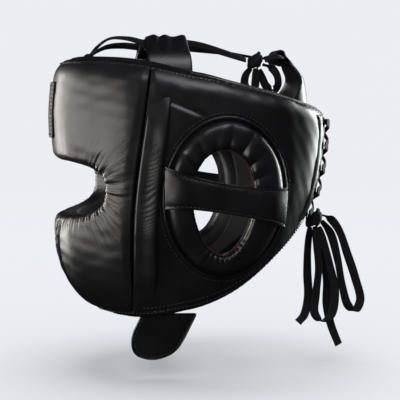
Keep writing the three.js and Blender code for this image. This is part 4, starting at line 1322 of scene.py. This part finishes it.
def side_flap():
    """Columns along Y of an (x, z) climb that turns over the lace; the leather bunches where it turns."""
    climb = [(69.5, 64), (68.5, 78), (66, 90), (61, 99.5), (53, 106.5)]
    climb += tunnel_arc((SIDE_LOOP_X, SIDE_LOOP_Z), 5.2, 70, 300) + [(44, 105.5), (51, 103.0)]
    x, z = np.array(climb).T[:, :, None]
    y = FLAP_Y + FLAP_WIDTH / 2 * np.linspace(-1, 1, FLAP_COLUMNS)[None]
    narrowing = 1 - 0.07 * smooth_step(z, 95, 110)
    grid = spline_rows(np.stack([x + 0 * y, FLAP_Y + (y - FLAP_Y) * narrowing, z + 0 * y], -1))
    bunch = smooth_step(grid[..., 2], 96, 108) * smooth_step(58 - grid[..., 0], 0, 8)
    grid[..., 2] += 0.9 * bunch * np.sin(grid[..., 1] / 2.1 + 0.8 * np.sin(grid[..., 1] / 4.7))
    return thick_sheet(grid, FLAP_THICKNESS)


def rear_flap():
    """Columns from side to side. The two lowest rows lie on the tongue, the others narrow to the lace."""
    share = np.linspace(-1, 1, FLAP_COLUMNS)
    turn = 180 - 30 * share
    rows = [wall_point(turn, z, tongue_depth(turn) + extra) for z, extra in ((44, 1.6), (61, 1.0))]
    for y, z, half, dip in ((110, 79, 34, 8), (99.5, 93, 25, 3), (91.5, 100.5, 18.5, 0)):
        rows.append(np.stack([half * share, y - dip * share ** 2, z + 0 * share], 1))
    for y, z in tunnel_arc((REAR_LOOP_Y, REAR_LOOP_Z), 5.0, 50, 290) + [(93, 95.5)]:
        rows.append(np.stack([REAR_LOOP_HALF * share, y + 0 * share, z + 0 * share], 1))
    grid = spline_rows(np.array(rows))
    bunch = smooth_step(grid[..., 2], 84, 98)
    grid[..., 2] += 0.8 * bunch * np.sin(grid[..., 0] / 1.9 + 0.7 * np.sin(grid[..., 0] / 4.1))
    return thick_sheet(grid, FLAP_THICKNESS)


def front_tab():
    """Short strip that rises behind the forehead's lining and turns over the lace."""
    middle, reach, _ = plan(np.array([70.0, 84.0]), WALL + 2.6)
    climb = list(zip(middle - reach, (70.0, 84.0))) + [(-98.5, 91)]
    climb += tunnel_arc((FRONT_LOOP_Y, FRONT_LOOP_Z), 4.9, 170, -70) + [(-95.5, 89.5)]
    y, z = np.array(climb).T[:, :, None]
    x = FRONT_LOOP_HALF * np.linspace(-1, 1, FLAP_COLUMNS)[None]
    grid = spline_rows(np.stack([x + 0 * y, y + 0 * x, z + 0 * x], -1))
    return thick_sheet(grid, FLAP_THICKNESS * 0.7)


for sign, hand in HANDS:
    flap = grid_object(f"{hand}_crown_leather", on_side(sign, side_flap()), [SOFT_LEATHER])
    dress(flap, "leather", ("front_section", f"{hand}_side", (sign * 0.0598, -0.024, 0.098),
                            (sign * 0.0722, -0.024, 0.066)), f"{hand}_crown_flap")
dress(grid_object("rear_crown_leather", rear_flap(), [SOFT_LEATHER]), "leather", "front_section",
      "rear_crown_flap")
dress(grid_object("front_lace_loop", front_tab(), [SOFT_LEATHER]), "leather", "front_section",
      "front_lace_tab")

# %% [markdown]
# ### Crown lace
#
# One flat lace goes from the bow through all four tunnels and back. It turns about its own length between
# them, so its width leans from level towards upright and back along a slow wave.

# %% Crown lace
CROWN_LACE = [
    (27, 51, 98), (30, 30, 104.5), (33, 8, 110.5), (34, -6, 112.5), (34, -24, 112.5), (34, -42, 112.5),
    (31, -58, 116.5), (25, -74, 116.5), (20.5, -86, 108), (17, -91.5, 99.5), (11, -92, 98),
    (0, -92, 98), (-11, -92, 98), (-17, -91.5, 99.5), (-20.5, -86, 105), (-25, -74, 111.5),
    (-31, -58, 113.5), (-34, -42, 112.5), (-34, -24, 112.5), (-34, -6, 112.5), (-33, 16, 110.5),
    (-31, 44, 107), (-30.5, 68, 103.5), (-28, 80, 102), (-20, 86, 101.5), (0, 86, 101.5), (20, 86, 101.5),
    (27, 82, 101.5), (29, 76, 100.5), (28, 68.5, 98.5),
]
crown_path = even_path(CROWN_LACE, 1.2)
crown_run = arc_lengths(crown_path)
level_side = np.cross(tangents(crown_path), Z_AXIS)
lean = (0.5 + 0.5 * np.sin(crown_run / 34))[:, None]
crown_across = unit(level_side * (1 - 0.75 * lean) + Z_AXIS * lean)
crown = grid_object("crown_flat_lace", sweep(crown_path, crown_across, oval(6.8, 2.4, 14, 0.85)), [LACE])
dress(crown, "lace", "front_section", "crown_lace")
print("crown lace is", round(crown_run[-1]), "mm long")

# %% [markdown]
# ## Plates: chin tab, under-chin strap and forehead patch
#
# A flat leather piece is a stack of the same outline: shrunk to its middle on one face, full at the edge,
# and shrunk again on the other. The edge is rounded and the border pressed in where it is sewn.

# %% Plates
def plate(outline, middle, normal, thickness, border=4.0):
    """Grid of an outline scaled from its middle on the upper face to full size, round the edge, and back to
    its middle on the lower face; a groove a few millimetres inside the edge is the sewn border."""
    outline, middle, normal = (np.asarray(v, float) for v in (outline, middle, normal))
    size = np.linalg.norm(outline - middle, axis=1).mean()
    inner = np.linspace(0.02, 1, 26)[:-1]
    edge = np.linspace(0, np.pi, 7)
    rounding = 0.35 * thickness / size
    scale = np.concatenate([inner, 1 - rounding + rounding * np.sin(edge), inner[::-1]])
    from_edge = (1 - np.concatenate([inner, np.ones(7), inner[::-1]])) * size
    side = np.concatenate([np.ones(25), np.cos(edge), -np.ones(25)])
    height = side * (thickness / 2 - 0.35 * np.exp(-((from_edge - border) / 1.0) ** 2))
    return middle + (outline - middle)[None] * scale[:, None, None] + normal * height[:, None, None]


def rounded(corners, radius, step=1.5):
    """Closed outline whose corners are cut by arcs: each corner is blended from the points a radius before
    and after it by the weights (1 - t) squared, 2t(1 - t) and t squared."""
    p = np.asarray(corners, float)
    to_last, to_next = unit(np.roll(p, 1, 0) - p), unit(np.roll(p, -1, 0) - p)
    t = np.linspace(0, 1, 9)[None, :, None]
    radius = np.broadcast_to(np.asarray(radius, float), (len(p),))[:, None]
    a, b = (p + to_last * radius)[:, None], (p + to_next * radius)[:, None]
    arcs = (a * (1 - t) ** 2 + p[:, None] * 2 * t * (1 - t) + b * t ** 2).reshape(-1, p.shape[1])
    length = arc_lengths(arcs, closed=True)
    stations = np.arange(0, length[-1], step)
    loop = np.concatenate([arcs, arcs[:1]])
    return np.stack([np.interp(stations, length, loop[:, k]) for k in range(p.shape[1])], 1)


TAB_X, TAB_THICKNESS, TAB_MIDDLE = 50.0, 3.0, (-33, -151)
TAB_CORNERS = [(-48, -131), (-58.5, -152), (-57.0, -170), (-37, -175.5), (-17.5, -169), (-9, -156), (3, -132)]
tab_outline = rounded(TAB_CORNERS, (3, 7, 10, 9, 9, 5, 3))


def tab_plate(x, thickness, shrink=1.0, lower=0.0):
    """Plate at an X, its outline drawn smaller about the tab's middle and set lower."""
    middle = np.array([x, *TAB_MIDDLE])
    outline = np.column_stack([np.full(len(tab_outline), x), tab_outline])
    outline = middle + (outline - middle) * [1, shrink, shrink]
    drop = lower * Z_AXIS
    return plate(outline - drop, middle - drop, X_AXIS, thickness)


dress(grid_object("chin_tab_leather", tab_plate(TAB_X, TAB_THICKNESS), [SOFT_LEATHER]), "leather",
      "chin_tab", "chin_tab")
dress(grid_object("chin_tab_hooks", tab_plate(TAB_X - 2.3, 1.0, 0.62, 6.0), [PILE]), "pile", "chin_tab",
      "chin_tab_hook_patch")


def strap_plate(z, thickness, inset):
    corners = [(-38 + inset, -38 + inset), (24 - inset, -38 + inset), (24 - inset, -2 - inset),
               (-38 + inset, -2 - inset)]
    outline = rounded(corners, (4, 15 - inset, 15 - inset, 4))
    return plate(np.column_stack([outline, np.full(len(outline), z)]), (-8, -20, z), Z_AXIS, thickness)


dress(grid_object("under_chin_leather", strap_plate(-127.5, 4.6, 0), [SOFT_LEATHER]), "leather",
      "under_chin_strap", "under_chin_strap")
dress(grid_object("under_chin_loops", strap_plate(-130.9, 1.2, 4), [PILE]), "pile", "under_chin_strap",
      "under_chin_loop_patch")


def front_y(x, z, inward):
    """Y of the wall's front at an X and a height, a distance in from the outer face."""
    middle, reach, half = plan(z, inward)
    return middle - reach * (1 - np.abs(x / half) ** ROUNDNESS) ** (1 / ROUNDNESS)


def patch_grid():
    """Rounded rectangle wrapped on the forehead: the plate's own X becomes the outline's X, and its depth
    is measured out of the wall."""
    outline = rounded([(-26, 27), (26, 27), (26, 78), (-26, 78)], 3.5)
    flat = plate(np.column_stack([outline, np.zeros(len(outline))]), (0, 52.5, 0), Z_AXIS, 2.6, 3.0)
    x, z, lift = flat[..., 0], flat[..., 1], flat[..., 2]
    return np.stack([x, front_y(x, z, -1.9 - lift), z], -1)


dress(grid_object("forehead_leather", patch_grid(), [SOFT_LEATHER]), "leather", "front_section",
      "forehead_patch")
print("plates done")

# %% [markdown]
# ## Stitching
#
# Every seam is sewn with thick thread, and each stitch is a short rounded bar that lies along its line and
# dips at both ends. One small shape is worked out once and set down along every line.

# %% Stitching
STITCH_PITCH, STITCH_LENGTH, STITCH_RADIUS = 3.6, 2.7, 0.42


def stitches(path, outwards, closed=False):
    """Stack of small closed grids along a path: five rings of six points, narrow at both ends."""
    places = even_path(path, STITCH_PITCH, closed)
    along = tangents(places, closed)
    out = unit(outwards(places) if callable(outwards) else np.broadcast_to(outwards, places.shape))
    side = unit(np.cross(along, out))
    share = np.linspace(-1, 1, 5)
    swing = np.arange(6) / 6 * 2 * np.pi
    thick = STITCH_RADIUS * np.sqrt(np.maximum(1.02 - share ** 2, 0.02))
    lift = STITCH_RADIUS * (0.55 - 0.9 * share ** 2)
    ring = np.cos(swing)[:, None] * side[:, None, None] + np.sin(swing)[:, None] * out[:, None, None]
    return (places[:, None, None] + along[:, None, None] * (share * STITCH_LENGTH / 2)[:, None, None]
            + out[:, None, None] * lift[:, None, None] + ring * thick[:, None, None])


def capped_many(name, grids, material):
    """One object from a stack of grids that are rings in their columns, each closed by a flat cap at both
    ends."""
    count, rows, columns, _ = grids.shape
    points, stack = stacked(grids, False)
    turned = outward(points, stack)
    low = np.arange(columns)[None] + (np.arange(count) * rows * columns)[:, None]
    high = low + (rows - 1) * columns
    if turned is stack:
        low = low[:, ::-1]
    else:
        high = high[:, ::-1]
    return make_object(name, points, turned.tolist() + low.tolist() + high.tolist(), [material])


def out_of_head(points):
    """Level direction away from the head's upright middle line."""
    return unit(points * [1, 1, 0])


def edge_row(place, first, last, at_top, drop, proud):
    across = np.linspace(first, last, 60)
    _, _, bottom, top = place(across, 1.0 if at_top else 0.0)
    share = drop / (top - bottom)
    turn, z, bottom, top = place(across, 1 - share if at_top else share)
    return wall_point(turn, z, faces(turn, z, bottom, top)[0] - proud)


def band_row(turn, lift):
    return wall_point(turn, np.linspace(-46, 45, 30), -lift)


front_rows = [(edge_row(front_place, -0.99, 0.99, True, 4.0, 1.55), False),
              (edge_row(front_place, -0.99, 0.99, False, 4.0, 1.5), False)]
side_rows = [(edge_row(side_place, 0.02, 0.97, True, 4.0, 1.55), False),
             (edge_row(side_place, 0.02, 0.97, False, 4.0, 1.5), False),
             (edge_row(side_place, 0.08, 0.86, False, 9.5, 0.9), False),
             (ear_loop(6.9, 0.75, True)[::6], True),
             (band_row(151.0, 1.0), False), (band_row(163.8, 1.4), False)]
strap_y = np.linspace(STRAP_FROM + 4, STRAP_TO - 4, 40)
strap_rows = [(strap_points(strap_y, np.full(40, s), 1.75), False) for s in (-0.84, 0.84)]


def sewn(name, rows, body, outwards=out_of_head, sign=1):
    """One object with the stitches of several (path, closed) rows, on the left or, mirrored, on the right."""
    stack = np.concatenate([stitches(on_side(sign, path), outwards, closed) for path, closed in rows])
    made = capped_many(name, stack, THREAD)
    print(name, "has", len(stack), "stitches")
    return dress(made, "lace", body)


sewn("front_stitching", front_rows, "front_section")
for sign, hand in HANDS:
    sewn(f"{hand}_stitching", side_rows, f"{hand}_side", sign=sign)
    sewn(f"{hand}_strap_stitching", strap_rows, f"{hand}_side", sign=sign)
tab_border = np.column_stack([np.full(len(tab_outline), TAB_X + 1.4), tab_outline])
tab_middle = np.array([TAB_X + 1.4, *TAB_MIDDLE])
sewn("chin_tab_stitching", [(tab_middle + (tab_border - tab_middle) * 0.86, True)], "chin_tab", X_AXIS)
patch_border = rounded([(-23, 30), (23, 30), (23, 75), (-23, 75)], 3.0)
patch_x, patch_z = patch_border.T
patch_row = np.stack([patch_x, front_y(patch_x, patch_z, -3.1), patch_z], 1)
sewn("patch_stitching", [(patch_row[::4], True)], "front_section")

# %% [markdown]
# ## Studio
#
# The floor is plain and pale, and so is everything beyond it: it fades out away from its middle, so that no
# horizon shows. It gives off some of its light itself, which keeps the shadow on it soft and grey. The floor
# and the sky are left out of the reflections, because black gloss would show them all over.

# %% Floor and sky
FLOOR_Z, FLOOR_RADIUS = -192.0, 2400.0
SKY = (0.835, 0.85, 0.882)
corners = np.array([(-1, -1), (1, -1), (1, 1), (-1, 1)]) * FLOOR_RADIUS
floor_finish = Finish("pale_floor", (0.3, 0.305, 0.317), 1.0, Specular_IOR_Level=0.0,
                      Emission_Color=(*SKY, 1.0), Emission_Strength=0.33)
centred = floor_finish.stretched(floor_finish.place, (0.45, 0.45, 0.0))
from_middle = floor_finish.node("ShaderNodeTexGradient", {"gradient_type": "SPHERICAL"}, Vector=centred)
fade = Value(floor_finish.tree, from_middle.outputs["Fac"])
floor_finish.set(Alpha=floor_finish.maths("MINIMUM", 1.0, 1.9 * fade))
floor = make_object("floor", np.column_stack([corners, np.full(4, FLOOR_Z)]), [(0, 1, 2, 3)],
                    [floor_finish.material])
floor.visible_glossy = False

sky = bpy.data.worlds.new("sky")
bpy.context.scene.world = sky
sky.use_nodes = True
sky.node_tree.nodes["Background"].inputs["Color"].default_value = (*SKY, 1)
sky.node_tree.nodes["Background"].inputs["Strength"].default_value = 1.0
sky.cycles_visibility.glossy = False
bpy.context.scene.view_settings.view_transform = "Standard"

# %% [markdown]
# ### Lamps
#
# Black gloss shows the lamps more than itself. A wide box towards the face lights the forehead and the
# chin, narrow strips beyond the face and behind the laced edge draw the bright edges, a raised box gives
# the upper side its sheen, and a faint one fills the far side. They leave the floor dark, which is lit by
# an overhead sun that reaches nothing else.

# %% Lamps
all_but_floor = bpy.data.collections.new("all_but_floor")
all_but_floor.objects.link(floor)
all_but_floor.collection_objects[0].light_linking.link_state = "EXCLUDE"


def soft_box(name, turn, rise, distance, width, height, power, colour=(1, 1, 1)):
    """Rectangular lamp at a place round the object, facing its middle, hidden from the camera itself."""
    lamp = bpy.data.lights.new(name, "AREA")
    lamp.shape, lamp.size, lamp.size_y = "RECTANGLE", width * MM, height * MM
    lamp.energy, lamp.color = power, colour
    obj = bpy.data.objects.new(name, lamp)
    bpy.context.scene.collection.objects.link(obj)
    look_at_aim(obj, on_sphere(turn, rise, distance))
    obj.visible_camera = False
    obj.light_linking.receiver_collection = all_but_floor


soft_box("face_box", 15, 3, 1500, 2000, 800, 24, (1.0, 0.97, 0.92))
soft_box("face_strip", -40, 3, 1400, 300, 900, 12, (1.0, 0.96, 0.9))
soft_box("rear_strip", 211, 8, 1400, 300, 900, 18, (0.93, 1.0, 0.97))
soft_box("upper_rear", 112, 56, 1600, 1000, 460, 9, (0.95, 0.92, 1.0))
soft_box("far_side", -110, 20, 1500, 900, 900, 4)

only_floor = bpy.data.collections.new("only_floor")
only_floor.objects.link(floor)
overhead = bpy.data.objects.new("overhead", bpy.data.lights.new("overhead", "SUN"))
overhead.data.energy, overhead.data.angle = 3.3, math.radians(48)
bpy.context.scene.collection.objects.link(overhead)
overhead.light_linking.receiver_collection = only_floor
